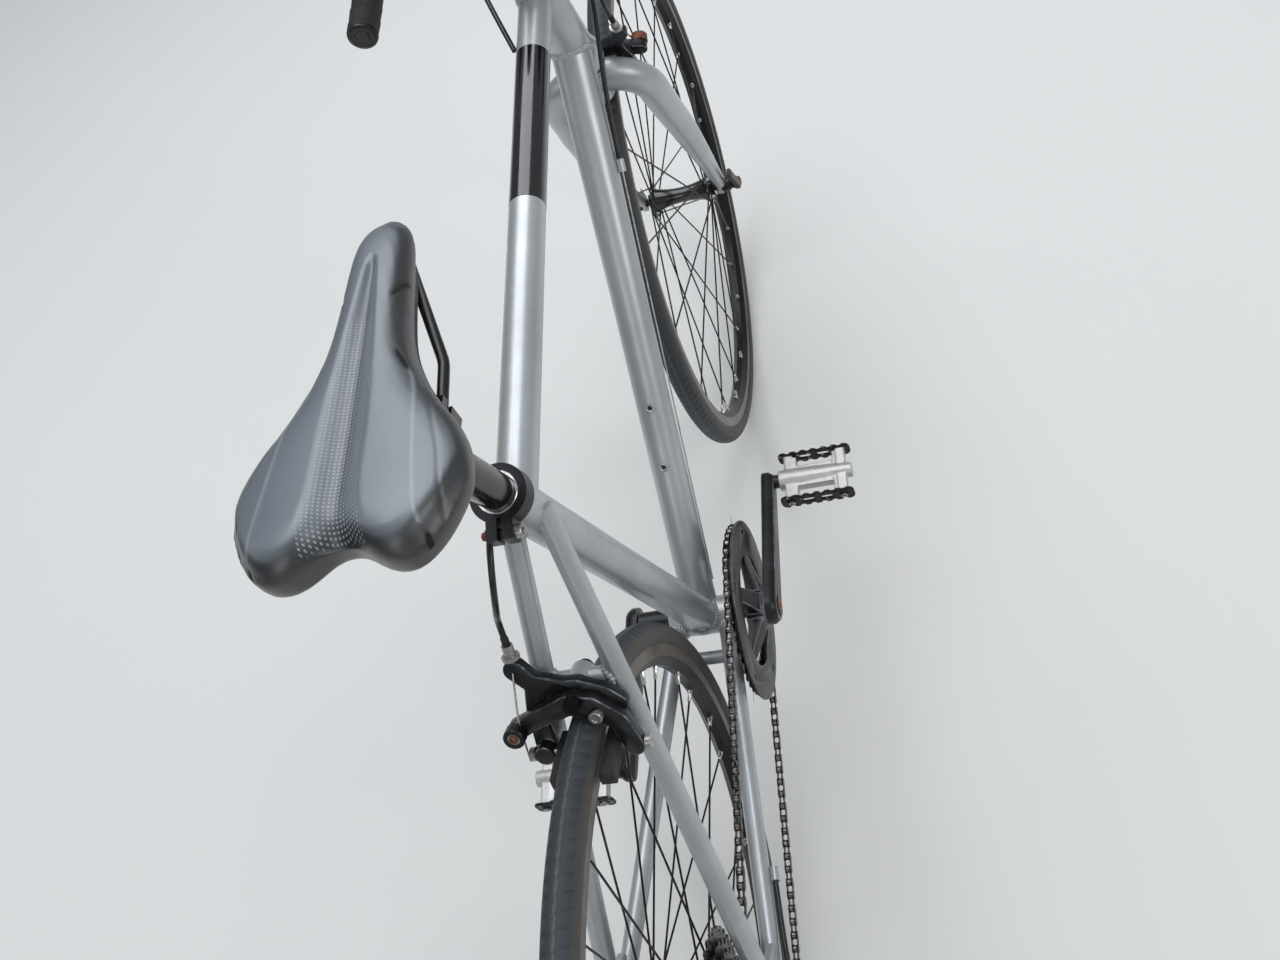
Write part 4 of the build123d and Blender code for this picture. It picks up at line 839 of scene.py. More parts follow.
def tyre_rubber(end, centre):
    """Rubber: matt and blue-grey where the road wears it, brown with dust on its sides."""
    material, tree, place = start_material(f"{end}_tyre_rubber")
    _, aside = offset_nodes(tree, place, centre)
    wear = add_node(
        tree, "TexNoise", {"Vector": place, "Scale": 1 / rubber_patch, "Detail": 8.0, "Roughness": 0.65}
    )
    sidewall = add_node(tree, "MapRange", {"Value": aside, "From Min": 0.0095, "From Max": 0.0128})
    tread = add_node(
        tree, "Mix", {0: wear, 6: linear(tread_colours[0]), 7: linear(tread_colours[1])}, data_type="RGBA",
    )
    dusty = add_node(
        tree, "Mix", {0: wear, 6: linear(side_colours[0]), 7: linear(side_colours[1])}, data_type="RGBA",
    )
    both = add_node(tree, "Mix", {0: sidewall, 6: tread, 7: dusty}, data_type="RGBA")
    groove = add_node(tree, "Attribute", attribute_name="groove").outputs["Fac"]
    both = add_node(tree, "Mix", {0: groove, 6: both, 7: linear(groove_colour)}, data_type="RGBA")
    grain = add_node(tree, "TexNoise", {"Vector": place, "Scale": 1 / rubber_grain, "Detail": 3.0})
    end_material(tree, both, grain, rubber_depth, wear, 0.48, 0.74, span=(0.3, 0.75))
    return material


wheels = (("front", front_axle, "front_wheel"), ("rear", rear_axle, "rear_wheel"))
crown_centre = tyre_radius - tyre_half
for end, axle, body in wheels:
    bm = bmesh.new()
    angles = [tyre_edge * (2 * n / profile_steps - 1) for n in range(profile_steps + 1)]
    profile = [(crown_centre + tyre_half * cos(a), tyre_half * sin(a)) for a in angles]
    profile += [(rim_outer - 0.0008, tyre_half * 0.8), (rim_outer - 0.0008, -tyre_half * 0.8)]
    lathe(bm, profile, facing(axle, left), steps=sipe_count * sipe_steps, closed=True)
    step_angle = 2 * pi / (sipe_count * sipe_steps)
    groove = bm.verts.layers.float.new("groove")
    for vert in bm.verts:
        offset = vert.co - axle
        radius, turn = hypot(offset.x, offset.z), atan2(offset.z, offset.x)
        around = atan2(offset.y, radius - crown_centre)
        if abs(around) > tread_edge or radius < rim_outer:
            continue
        line = round(turn / step_angle) % sipe_steps
        fade = step(sipe_band[0], sipe_band[0] + 0.1, abs(around))
        fade *= 1 - step(sipe_band[1] - 0.1, sipe_band[1], abs(around))
        narrow = {1: 0.62, 3: -0.62}.get(line, 0.0)
        turn += step_angle * (narrow + sipe_shear * (abs(around) - 0.2) * (1 if around > 0 else -1))
        push = sipe_depth * fade if line == 2 else 0.0
        if abs(around) < zigzag_edge:
            push = zigzag_depth
            vert[groove] = 0.75
            offset.y += zigzag_swing * (1 if line in (1, 2) else -1)
        shrink = 1 - push / tyre_half
        radius = crown_centre + (radius - crown_centre) * shrink
        vert.co = axle + Vector((radius * cos(turn), offset.y * shrink, radius * sin(turn)))
    fit(link_piece(f"{end}_tread_tyre", bm, tyre_rubber(end, axle), 50), body, f"{end}_tyre")

# Rims: extruded aluminium rolled to a hoop, anodised black. The brake pads have scrubbed a
# bright ringed track near the edge, which pad dust dulls on the rear one.
track_inner = 0.3045
track_aside = 0.0098
ring_pitch = 0.00045
ring_depth = 0.00006
rim_black = "#1B1D1F"
rim_patch = 0.03


def rim_finish(end, centre, scrubbed, dulled):
    """Anodised black, scored to bare metal in rings that are drawn coarser than the real 0.1 mm."""
    material, tree, place = start_material(f"{end}_rim_anodised")
    radius, aside = offset_nodes(tree, place, centre)
    above = add_node(tree, "Math", {0: radius, 1: track_inner}, operation="GREATER_THAN")
    beside = add_node(tree, "Math", {0: aside, 1: track_aside}, operation="GREATER_THAN")
    track = add_node(tree, "Math", {0: above, 1: beside}, operation="MULTIPLY")
    rings = add_node(
        tree, "TexNoise", {"W": radius, "Scale": 1 / ring_pitch, "Detail": 3.0}, noise_dimensions="1D"
    )
    wear = add_node(
        tree, "TexNoise", {"Vector": place, "Scale": 1 / rim_patch, "Detail": 7.0, "Roughness": 0.6}
    )
    worn = add_node(tree, "Math", {0: rings, 1: wear}, operation="MULTIPLY")
    share = add_node(tree, "MapRange", {"Value": worn, "From Min": 0.16, "From Max": 0.36})
    metal = add_node(tree, "Mix", {0: share, 6: linear(dulled), 7: linear(scrubbed)}, data_type="RGBA")
    tone = add_node(tree, "Mix", {0: track, 6: linear(rim_black), 7: metal}, data_type="RGBA")
    end_material(tree, tone, worn, ring_depth, wear, 0.26, 0.46, Metallic=0.6)
    return material


dress(rim_finish("front", front_axle, "#8E8D8B", "#2B2B2C"), "front_rim")
dress(rim_finish("rear", rear_axle, "#8A8178", "#4A433C"), "rear_rim")

# Spokes, nipples and valves: black steel spokes in bright aluminium nipples, which turn in holes
# round the rim's inner edge, and one slim blackened valve for each wheel with its cap.
rim_inner = 0.297
spoke_count = 32
spoke_lean = radians(68)
flange_radius = 0.022
flange_thick = 0.003
spoke_d = 0.002
nipple_radius = 0.0021
nipple_length = 0.012
flange_at = 0.036
drive_flange_at = 0.015
valve_radius = 0.003
valve_length = 0.030


def turned(angle):
    """Forward and up, turned about the wheels' axis by an angle from forward."""
    return Vector((cos(angle), 0, sin(angle)))


# Oxide-blacked drawn wire: dark, with thin grey streaks of light along it
black_steel = worn_finish(
    "blackened_spoke_steel", "#1B1B1D", "#35332F", 0.01, 0.0006, 0.00003, 0.28, 0.46, Metallic=0.75
)
dress(black_steel, "front_spokes", "rear_spokes")
nipple_profile = (
    (0, 0), (nipple_radius * 1.25, 0), (nipple_radius * 1.25, 0.003), (nipple_radius, 0.0036),
    (nipple_radius * 0.9, nipple_length - 0.001), (nipple_radius * 0.6, nipple_length), (0, nipple_length),
)
valve_profile = (
    (0, 0), (0.0045, 0), (0.0045, 0.0025), (valve_radius, 0.003), (valve_radius, valve_length * 0.7),
    (0.0026, valve_length * 0.72), (0.0026, valve_length - 0.004), (0.0012, valve_length),
    (0, valve_length),
)
for end, axle, body in wheels:
    drive_flange = drive_flange_at if end == "rear" else flange_at
    places = []
    for n in range(spoke_count):
        hand = 1 if n % 2 == 0 else -1
        flange = flange_at if hand > 0 else -drive_flange
        outside = 1 if (n // 2) % 2 == 0 else -1
        seat = flange_thick / 2 + spoke_d / 2 + (0.001 if outside > 0 else 0.0001)
        face = flange + hand * (flange_thick / 2 + outside * seat)
        turn = 2 * pi * n / spoke_count
        root = axle + turned(turn - spoke_lean * outside) * (flange_radius - 0.003) + left * face
        tip = axle + turned(turn) * rim_inner + left * (hand * 0.002)
        places.append(facing(tip, root - tip))
    turn_piece(f"{end}_nipples", polished_alloy, body, nipple_profile, places, 10)
    valve_out = turned(2 * pi * 0.5 / spoke_count + pi * 0.75)
    places = [facing(axle + valve_out * rim_inner, -valve_out)]
    turn_piece(f"{end}_valve", black_enamel, body, valve_profile, places, 20)

# Hubs and quick releases: glossy black hub shells that narrow between their flanges, on steel
# axles. The skewers' levers are bronze-black enamel, and the front nut has rusted.
# Thick paint over a smooth forging gives sharp dark highlights, and rust is a dull rough brown
hub_gloss = worn_finish(
    "gloss_black_hub", "#0D0D0E", "#1C1B1A", 0.02, 0.001, 0.00003, 0.12, 0.3,
    **{"Coat Weight": 0.6, "Coat Roughness": 0.08},
)
bronze_enamel = worn_finish(
    "bronze_black_enamel", "#2A2320", "#4A3A30", 0.008, 0.0008, 0.00005, 0.24, 0.45, Metallic=0.5
)
nut_aside = 0.0715
rusty_steel = worn_finish(
    "rusted_steel", "#7A4A33", "#4A2E22", 0.005, 0.0005, 0.00012, 0.55, 0.8, Metallic=0.3
)
dress(hub_gloss, "front_hub", "rear_hub")
for end, body in (("front", "steering"), ("rear", "frame")):
    release = copy_node(f"{end}_skewer", f"{end}_quick_release", bronze_enamel, *forged(0.0011, 5))
    fit(release, body, f"{end}_skewer")
nut_profile = (
    (0, 0), (0.0085, 0), (0.0085, 0.003), (0.0070, 0.0045), (0.0070, 0.0075), (0.004, 0.009), (0, 0.009),
)
places = [facing(front_axle - left * nut_aside, -left)]
turn_piece("front_skewer_nut", rusty_steel, "steering", nut_profile, places, 12)

# Brakes: dual-pivot calipers with forged arms, anodised dark grey, their edges pale partly as rubbed
# metal and partly as a painted highlight. Rubber pads sit on bolts at their tips, and a wire pulls the arms
# together.
# Dyed oxide is a dark even satin, rubbed edges show the paler metal and carry a painted highlight, and old
# rubber is dull
arm_grey = worn_finish(
    "dark_anodised_forging", "#1C1E20", "#34373A", 0.035, 0.0008, 0.00004, 0.24, 0.42, Metallic=0.4
)
# pale bevels: partly rubbed metal, partly a painted edge highlight
rubbed_edge_highlight = worn_finish(
    "rubbed_forging_edge_and_highlight", "#3A3D40", "#9A9C9D", 0.012, 0.0007, 0.00003, 0.22, 0.4, Metallic=0.7
)
pad_rubber = worn_finish("brake_pad_rubber", "#232425", "#3A3B3C", 0.008, 0.0007, 0.0001, 0.62, 0.85)
calipers = (
    # end, body, bolt, up, out
    ("front", "steering", fork_bolt + steer_fore * 0.018, steer_up, steer_fore),
    ("rear", "frame", bridge + stay_back * 0.009, -stay_axis, stay_back),
)
barrel_at = (-0.042, 0.035)
anchor_at = (-0.051, -0.020)
adjuster_at = (0.015, -0.013)
cup_floor = 0.0075
cup_profile = (
    (0, 0), (0.0086, 0), (0.0086, 0.0085), (0.0078, 0.0096), (0.0050, 0.0096), (0.0044, cup_floor),
    (0, cup_floor),
)
barrel_out = 0.0075
arms_out = 0.0225
wire_radius = 0.0008
plated_colours = ("#C0C0BE", "#8B8279")
middle_bolt_colour = "#1B1C1E"
plating_patch = 0.006
plating_grain = 0.0007
plating_depth = 0.00003
middle_bolt_reach = 0.030


def hose(name, points, radius, material):
    """A flexible line through given points, as a smooth tube."""
    curve = bpy.data.curves.new(name, "CURVE")
    curve.dimensions = "3D"
    curve.bevel_depth = radius
    curve.bevel_resolution = 4
    curve.resolution_u = 10
    curve.use_fill_caps = True
    spline = curve.splines.new("NURBS")
    spline.points.add(len(points) - 1)
    for point, spot in zip(spline.points, points):
        point.co = (*spot, 1)
    spline.order_u = 3
    spline.use_endpoint_u = True
    shaped = bpy.data.objects.new(name, curve)
    scene.collection.objects.link(shaped)
    mesh = bpy.data.meshes.new_from_object(shaped.evaluated_get(bpy.context.evaluated_depsgraph_get()))
    bpy.data.objects.remove(shaped)
    bm = bmesh.new()
    bm.from_mesh(mesh)
    return link_piece(name, bm, material, 60)


# Zinc plating is a cool bright grey with brown stains, and drawn stainless wire shines along it
zinc_steel = worn_finish(
    "zinc_plated_steel", "#AFAFAD", "#7B6F63", 0.006, 0.0007, 0.00003, 0.25, 0.5, Metallic=0.9
)
bright_wire = worn_finish(
    "stainless_wire", "#B9B8B5", "#8E8B86", 0.01, 0.0004, 0.00003, 0.25, 0.4, Metallic=1.0
)


def lay_bolt(bm, spot, ahead, radius, height, socket=0.5):
    """A socket-head screw: a chamfered round head with a six-sided recess."""
    axes = facing(spot, ahead)
    recess, edge = radius * socket, radius * 0.14
    before = set(bm.verts)
    lathe(
        bm,
        (
            (0, 0), (radius, 0), (radius, height - edge), (radius - edge, height), (recess * 1.12, height),
            (recess, height - edge), (recess, height * 0.35), (0, height * 0.35),
        ),
        axes, steps=24,
    )
    inward = axes.inverted()
    wedge = 2 * pi / 6
    for vert in (v for v in bm.verts if v not in before):
        local = inward @ vert.co
        if recess * 0.9 < hypot(local.x, local.y) < recess * 1.02:
            turn = atan2(local.y, local.x) % wedge - wedge / 2
            local.xy *= cos(wedge / 2) / cos(turn)
            vert.co = axes @ local


def screw_piece(name, material, body, bolts):
    """A piece made of screws, each given as its spot, where it faces, radius and height."""
    bm = bmesh.new()
    for bolt in bolts:
        lay_bolt(bm, *bolt)
    fit(link_piece(name, bm, material), body)


def bolt_finish(end, spot):
    """Plated steel, bright with dull stains, but black near the caliper's middle bolt."""
    material, tree, place = start_material(f"{end}_caliper_hardware")
    away = add_node(tree, "VectorMath", {0: place, 1: spot}, operation="DISTANCE")
    near = add_node(
        tree, "MapRange",
        {"Value": away, "From Min": middle_bolt_reach + 0.0002, "From Max": middle_bolt_reach - 0.0002},
    )
    wear = add_node(tree, "TexNoise", {"Vector": place, "Scale": 1 / plating_patch, "Detail": 6.0})
    steel = add_node(
        tree, "Mix",
        {0: wear, 6: linear(plated_colours[0]), 7: linear(plated_colours[1])}, data_type="RGBA",
    )
    tone = add_node(tree, "Mix", {0: near, 6: steel, 7: linear(middle_bolt_colour)}, data_type="RGBA")
    grain = add_node(tree, "TexNoise", {"Vector": place, "Scale": 1 / plating_grain, "Detail": 3.0})
    end_material(tree, tone, grain, plating_depth, wear, 0.24, 0.48, Metallic=0.85)
    return material


for end, body, bolt, up, out in calipers:
    axes = Matrix.Translation(bolt) @ Matrix((up.cross(out), up, out)).transposed().to_4x4()
    # the arms' bevels take the pale edge: rubbed metal together with a painted highlight
    arms = copy_node(f"{end}_brake_arms", f"{end}_caliper", arm_grey, edge=0.0010, rim=rubbed_edge_highlight)
    fit(arms, body, f"{end}_brake_arms")
    dress(bolt_finish(end, bolt), f"{end}_brake_bolts")
    dress(pad_rubber, f"{end}_brake_pads")
    wire = hose(
        f"{end}_brake_wire",
        [axes @ Vector((*barrel_at, barrel_out)), axes @ Vector((-0.0445, 0.012, 0.016)),
         axes @ Vector((anchor_at[0] + 0.004, anchor_at[1] + 0.004, arms_out + 0.002)),
         axes @ Vector((anchor_at[0] + 0.005, anchor_at[1] - 0.024, arms_out + 0.004))],
        wire_radius, bright_wire,
    )
    fit(wire, body)
    adjuster = (axes @ Vector((*adjuster_at, arms_out + 0.0025)), out, 0.0052, 0.003)
    screw_piece(f"{end}_brake_screws", zinc_steel, body, [adjuster])
    places = [axes @ Matrix.Translation((*anchor_at, arms_out))]
    cup_metal = rusty_steel if end == "front" else satin_black
    turn_piece(f"{end}_anchor_cup", cup_metal, body, cup_profile, places, 32)
    anchor = (axes @ Vector((*anchor_at, arms_out + cup_floor)), out, 0.0036, 0.0030)
    screw_piece(f"{end}_anchor_nut", rusty_steel, body, [anchor])

# Cable housings: steel coil inside a glossy black plastic cover, 5 mm thick. Two run from the
# bar to the frame, and each end sits in a small metal ferrule.
bar_middle = Vector((0.650635, 0, -0.076773))
down_axis = (down_tube_front - bracket).normalized()
down_out = Vector((-down_axis.z, 0, down_axis.x))
down_length = (down_tube_front - bracket).length
shift_end = bracket + down_axis * (down_length * 0.80 + 0.0003) - left * 0.0235
housing_radius = 0.0025
barrel_up = 0.0473
ferrule_radius = 0.0031
ferrule_length = 0.007
ferrule_profile = (
    (0.0026, 0), (ferrule_radius, 0), (ferrule_radius, ferrule_length - 0.001),
    (ferrule_radius - 0.0004, ferrule_length), (0.0026, ferrule_length),
)
# Extruded plastic: smooth and glossy, so each housing carries one thin highlight
cover_plastic = worn_finish("black_cable_cover", "#101112", "#232425", 0.02, 0.0011, 0.00003, 0.24, 0.42)
bar_cables = (
    # name, points from the bar's middle, points from the bottom bracket, last points
    ("bar_to_top_tube", ((-13, 60, -13), (-2, 60, -36), (-10, 58, -60)),
     ((410, 53, 554), (370, 39, 541), (318, 18, 528)), ()),
    ("bar_to_down_tube", ((-13, -60, -13), (-16, -55, -36)),
     ((434, -46, 536), (436, -35, 472)), (shift_end + down_axis * 0.060, shift_end)),
)
dress(cover_plastic, "rear_gear_housing", "rear_brake_housing", "front_brake_housing")
dress(bright_wire, "gear_wire")
for name, from_bar, from_bracket, last in bar_cables:
    points = [bar_middle + Vector(p) / 1000 for p in from_bar]
    points += [bracket + Vector(p) / 1000 for p in from_bracket] + list(last)
    housing = hose(f"{name}_cable", points, housing_radius, cover_plastic)
    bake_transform(housing)
    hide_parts(f"{name}_housing")
front_barrel, rear_barrel = (
    bolt + out * barrel_out + up * barrel_up + up.cross(out) * barrel_at[0]
    for _, _, bolt, up, out in calipers
)
for name, spots, body in (
    ("frame_ferrules", ((shift_end, down_axis), (rear_barrel, -stay_axis)), "frame"),
    ("fork_ferrule", ((front_barrel, steer_up),), "steering"),
):
    places = [facing(spot, ahead) for spot, ahead in spots]
    turn_piece(name, satin_black, body, ferrule_profile, places, 20, closed=True)

# Bottle bosses: threaded steel inserts squeezed into the down tube, open because no cage is
# fitted. Each leaves a thin bright lip round its dark bore.
boss_runs = (0.174, 0.238)
boss_out = 0.0204
insert_profile = (
    (0.0026, -0.004), (0.0026, 0.0006), (0.0031, 0.0010), (0.0040, 0.0010), (0.0044, 0.0003),
    (0.0044, -0.001),
)
places = [facing(bracket + down_axis * run + down_out * boss_out, down_out) for run in boss_runs]
turn_piece("boss_inserts", zinc_steel, "frame", insert_profile, places, 28)

# Seat clamp hardware: a plated steel bolt pulls the collar's ears together. Its round head is on
# the right, and its threaded end, gone rusty, stands out of the left ear.
ear_drop = 0.005
ear_back = 0.02745
ear_half = 0.010
ear_bolt = seat_tube_top - seat_up * ear_drop - seat_fore * ear_back
thread_profile = (
    (0, 0), (0.0048, 0), (0.0048, 0.0022), (0.0030, 0.0024), (0.0030, 0.0050), (0.0024, 0.0056),
    (0, 0.0056),
)
clamp_bolt = (ear_bolt - left * ear_half, -left, 0.0052, 0.0048)
screw_piece("seat_clamp_bolt", zinc_steel, "frame", [clamp_bolt])
places = [facing(ear_bolt + left * ear_half, left)]
turn_piece("seat_clamp_thread", rusty_steel, "frame", thread_profile, places, 20)

# Chain: blackened steel links joined by pins, wider and narrower in turn, with rollers between
# them. It is oiled and dirty, and only its rubbed plate edges and pin heads shine.
chain_y = -0.050
chain_pitch = 0.0127
chain_end_radius = 0.00425
chain_waist = 0.0028
roller_radius = 0.0038
pin_radius = 0.0018
inner_plates = (0.00165, 0.0008)
outer_plates = (0.00250, 0.0008)
pin_reach = 0.0035
roller_half = 0.00155
pin_profile = ((0, -pin_reach), (pin_radius, -pin_reach), (pin_radius, pin_reach), (0, pin_reach))
roller_profile = (
    (pin_radius, -roller_half), (roller_radius, -roller_half), (roller_radius, roller_half),
    (pin_radius, roller_half),
)
# Oil and dirt make the plates brown-black, and rubbed pins and rollers are bright
oily_steel = worn_finish(
    "oiled_chain_steel", "#1D1B19", "#6B6761", 0.004, 0.0006, 0.00004, 0.28, 0.5, Metallic=0.85
)
rubbed_steel = worn_finish(
    "rubbed_chain_steel", "#77736D", "#B9B6B0", 0.004, 0.0006, 0.00003, 0.22, 0.4, Metallic=0.95
)


def pitch_radius(teeth):
    """How far the chain's pins lie from a sprocket's axis."""
    return chain_pitch / 2 / sin(pi / teeth)


wraps = (
    # along and up from the bottom bracket, signed pitch radius, teeth that the pins must meet
    (0.0, 0.0, pitch_radius(44), 44),
    (-0.4017, 0.0494, pitch_radius(14), 14),
    (-0.383, -0.046, -pitch_radius(11), 0),
    (-0.372, -0.121, pitch_radius(11), 11),
)
normals = []
for (x0, z0, r0, _), (x1, z1, r1, _) in zip(wraps, wraps[1:] + wraps[:1]):
    normals.append(atan2(z1 - z0, x1 - x0) - pi / 2 + asin((r0 - r1) / hypot(x1 - x0, z1 - z0)))
pins = []
meets = []
travel = 0.0
spans = []
for n, (x, z, r, teeth) in enumerate(wraps):
    start, end = normals[n - 1], normals[n]
    turn = (end - start) % (2 * pi) if r > 0 else -((start - end) % (2 * pi))
    spans.append((travel, x, z, r, start, turn))
    if teeth:
        wedge = 2 * pi / teeth
        first = wedge * int(start / wedge + 1000 + 1) - wedge * 1000
        while first <= start + turn:
            meets.append(travel + (first - start) * r)
            first += wedge
    travel += abs(turn * r)
    x1, z1, r1, _ = wraps[(n + 1) % len(wraps)]
    leave = Vector((x + r * cos(end), z + r * sin(end)))
    reach = Vector((x1 + r1 * cos(end), z1 + r1 * sin(end)))
    spans.append((travel, leave, reach))
    travel += (reach - leave).length
stretches = []
for before, after in zip(meets, meets[1:] + [meets[0] + travel]):
    stretches.append([before, after, max(1, round((after - before) / chain_pitch))])
if sum(count for _, _, count in stretches) % 2:
    longest = max(stretches, key=lambda stretch: stretch[1] - stretch[0])
    longest[2] += 1 if (longest[1] - longest[0]) / longest[2] > chain_pitch else -1
for before, after, count in stretches:
    for k in range(count):
        spot = (before + (after - before) * k / count) % travel
        span = [s for s in spans if s[0] <= spot + 1e-9][-1]
        if len(span) == 3:
            flat = span[1] + (span[2] - span[1]).normalized() * (spot - span[0])
        else:
            _, x, z, r, start, turn = span
            angle = start + (spot - span[0]) / abs(r) * (1 if turn > 0 else -1)
            flat = Vector((x + r * cos(angle), z + r * sin(angle)))
        pins.append(bracket + Vector((flat.x, chain_y, flat.y)))


def lay_plate(bm, start, end, aside, thick):
    """A waisted chain plate between two pins, standing off the chain's middle plane."""
    axes = facing((start + end) / 2 + left * (aside - thick / 2), left, end - start)
    half = (end - start).length / 2
    ring = []
    for hand in (1, -1):
        for n in range(7):
            turn = radians(-100 + 200 * n / 6) + (0 if hand > 0 else pi)
            ring.append((hand * half + chain_end_radius * cos(turn), chain_end_radius * sin(turn)))
        ring.append((0, chain_waist * hand))
    verts = [bm.verts.new(axes @ Vector((x, y, 0))) for x, y in ring]
    face = bm.faces.new(verts)
    made = bmesh.ops.extrude_face_region(bm, geom=[face])["geom"]
    bmesh.ops.translate(bm, verts=corners(made), vec=left * thick)


bm = bmesh.new()
bright = bmesh.new()
for n, (start, end) in enumerate(zip(pins, pins[1:] + pins[:1])):
    aside, thick = outer_plates if n % 2 else inner_plates
    for hand in (1, -1):
        lay_plate(bm, start, end, hand * (aside + thick / 2), thick)
    lathe(bright, pin_profile, facing(start, left), 10)
    lathe(bright, roller_profile, facing(start, left), 12)
fit(link_piece("chain_links", bm, oily_steel), "frame", "chain")
fit(link_piece("chain_rollers", bright, rubbed_steel), "frame")

# Chainring, guard and cassette: pressed steel teeth, blackened and worn to bare metal by the
# chain. The guard is satin black plastic with bevelled windows, held by the ring's five bolts.
# Oil and dust lie in the hollows of the steel, and the chain keeps its high places bright
cog_steel = worn_finish(
    "worn_sprocket_steel", "#2B2A29", "#8D8A85", 0.006, 0.0006, 0.00004, 0.28, 0.48, Metallic=0.9
)
# Moulded plastic is a flat satin black; its bevels are pale, partly where it is scraped and partly as a
# painted highlight
guard_plastic = worn_finish(
    "satin_black_guard", "#121213", "#211F1E", 0.02, 0.0009, 0.00005, 0.3, 0.46,
    **{"Specular IOR Level": 0.35},
)
# pale bevels: partly scraped, partly a painted edge highlight
pale_bevel_highlight = worn_finish(
    "pale_worn_and_highlit_bevel", "#4A4C4E", "#8C8E90", 0.02, 0.0008, 0.00003, 0.3, 0.45, Metallic=0.2
)
dress(cog_steel, "chainring", "cassette")
# the guard's bevels carry a painted highlight as well as scrapes
guard = copy_node("chain_guard", "chain_case_ring", guard_plastic, edge=0.0007, rim=pale_bevel_highlight)
fit(guard, "crankset", "chain_guard")
spider_face = chain_y - 0.005
first_bolt = radians(28.6)
bolt_circle = 0.065
lock_ring_out = 0.0052
bolts = []
for n in range(5):
    out = turned(first_bolt + 2 * pi * n / 5)
    bolts.append((bracket + out * bolt_circle + left * spider_face, -left, 0.0048, 0.0018, 0.55))
screw_piece("chainring_bolts", zinc_steel, "crankset", bolts)
lock_profile = (
    (0.0095, 0), (0.0155, 0), (0.0155, 0.0012), (0.0145, 0.0020), (0.0100, 0.0020), (0.0095, 0.0012),
)
turn_piece(
    "cassette_lock_ring", satin_black, "rear_wheel", lock_profile,
    [facing(rear_axle + left * (chain_y - lock_ring_out), -left)], 48, closed=True,
)

# Cranks: forged aluminium arms, anodised satin black, with a ridge down their outer face. The
# spindle's ends are closed by screwed caps, and the right one has a small orange mark.
# Dyed forging: an even satin black with broad highlights; the mark is a dab of thick enamel
crank_black = worn_finish(
    "satin_black_crank", "#17181A", "#2A2C2E", 0.04, 0.0007, 0.00005, 0.28, 0.46, Metallic=0.35
)
orange_enamel = worn_finish("orange_enamel_mark", "#C9541C", "#8E3D18", 0.004, 0.0005, 0.00003, 0.35, 0.5)
crank_out = 0.084
cap_profile = (
    (0, -0.003), (0.0112, -0.003), (0.0112, 0.0002), (0.0104, 0.0012), (0.0068, 0.0014), (0.0060, 0.0002),
    (0, 0.0002),
)
mark_profile = ((0.0036, 0.0006), (0.0036, 0.0016), (0.0056, 0.0016), (0.0056, 0.0006))
for side, hand in (("right", -1), ("left", 1)):
    # the crank's bevels carry a painted highlight line as well as rubbed wear
    arm = copy_node(f"{side}_crank", f"{side}_crank_arm", crank_black, edge=0.0012, rim=pale_bevel_highlight)
    fit(arm, "crankset", f"{side}_crank")
    places = [facing(bracket + left * (hand * crank_out), left * hand)]
    turn_piece(f"{side}_crank_cap", satin_black, "crankset", cap_profile, places, 40)
dress(black_enamel, "crank_spindle", "bracket_cups")
turn_piece(
    "crank_orange_mark", orange_enamel, "crankset", mark_profile,
    [facing(bracket - left * crank_out, -left)], 32, closed=True,
)

# Pedals: a cast aluminium body worn bright by shoes, between toothed black cage plates that are
# held by four steel bolts. They turn on black steel pins.
pedal_plate = 0.0272
pedal_length = 0.084
pedal_bolt_fore = 0.0315
pedal_blocks = (
    # share along the pedal, length, depth, height
    (0, 0.070, 0.027, 0.011), (0.33, 0.014, 0.052, 0.012), (-0.33, 0.014, 0.052, 0.012),
)
casting_colours = ("#8B8A87", "#E3E2DF")
plate_colours = ("#1A1A1B", "#A9A7A3")
casting_patch = 0.008
casting_depth = 0.0002


def pedal_finish(name, middle):
    """Worn bright casting near the middle, chipped black plates in front and behind."""
    material, tree, place = start_material(name)
    offset = add_node(tree, "VectorMath", {0: place, 1: middle}, operation="SUBTRACT")
    parts = add_node(tree, "SeparateXYZ", {"Vector": offset})
    ahead = add_node(tree, "Math", {0: parts.outputs["X"]}, operation="ABSOLUTE")
    plate = add_node(
        tree, "MapRange",
        {"Value": ahead, "From Min": pedal_plate - 0.0006, "From Max": pedal_plate + 0.0006},
    )
    wear = add_node(
        tree, "TexNoise", {"Vector": place, "Scale": 1 / casting_patch, "Detail": 8.0, "Roughness": 0.7}
    )
    chips = add_node(tree, "MapRange", {"Value": wear, "From Min": 0.58, "From Max": 0.66})
    casting = add_node(
        tree, "Mix",
        {0: wear, 6: linear(casting_colours[0]), 7: linear(casting_colours[1])}, data_type="RGBA",
    )
    black = add_node(
        tree, "Mix", {0: chips, 6: linear(plate_colours[0]), 7: linear(plate_colours[1])}, data_type="RGBA",
    )
    tone = add_node(tree, "Mix", {0: plate, 6: casting, 7: black}, data_type="RGBA")
    end_material(tree, tone, wear, casting_depth, wear, 0.32, 0.55, Metallic=0.55)
    return material


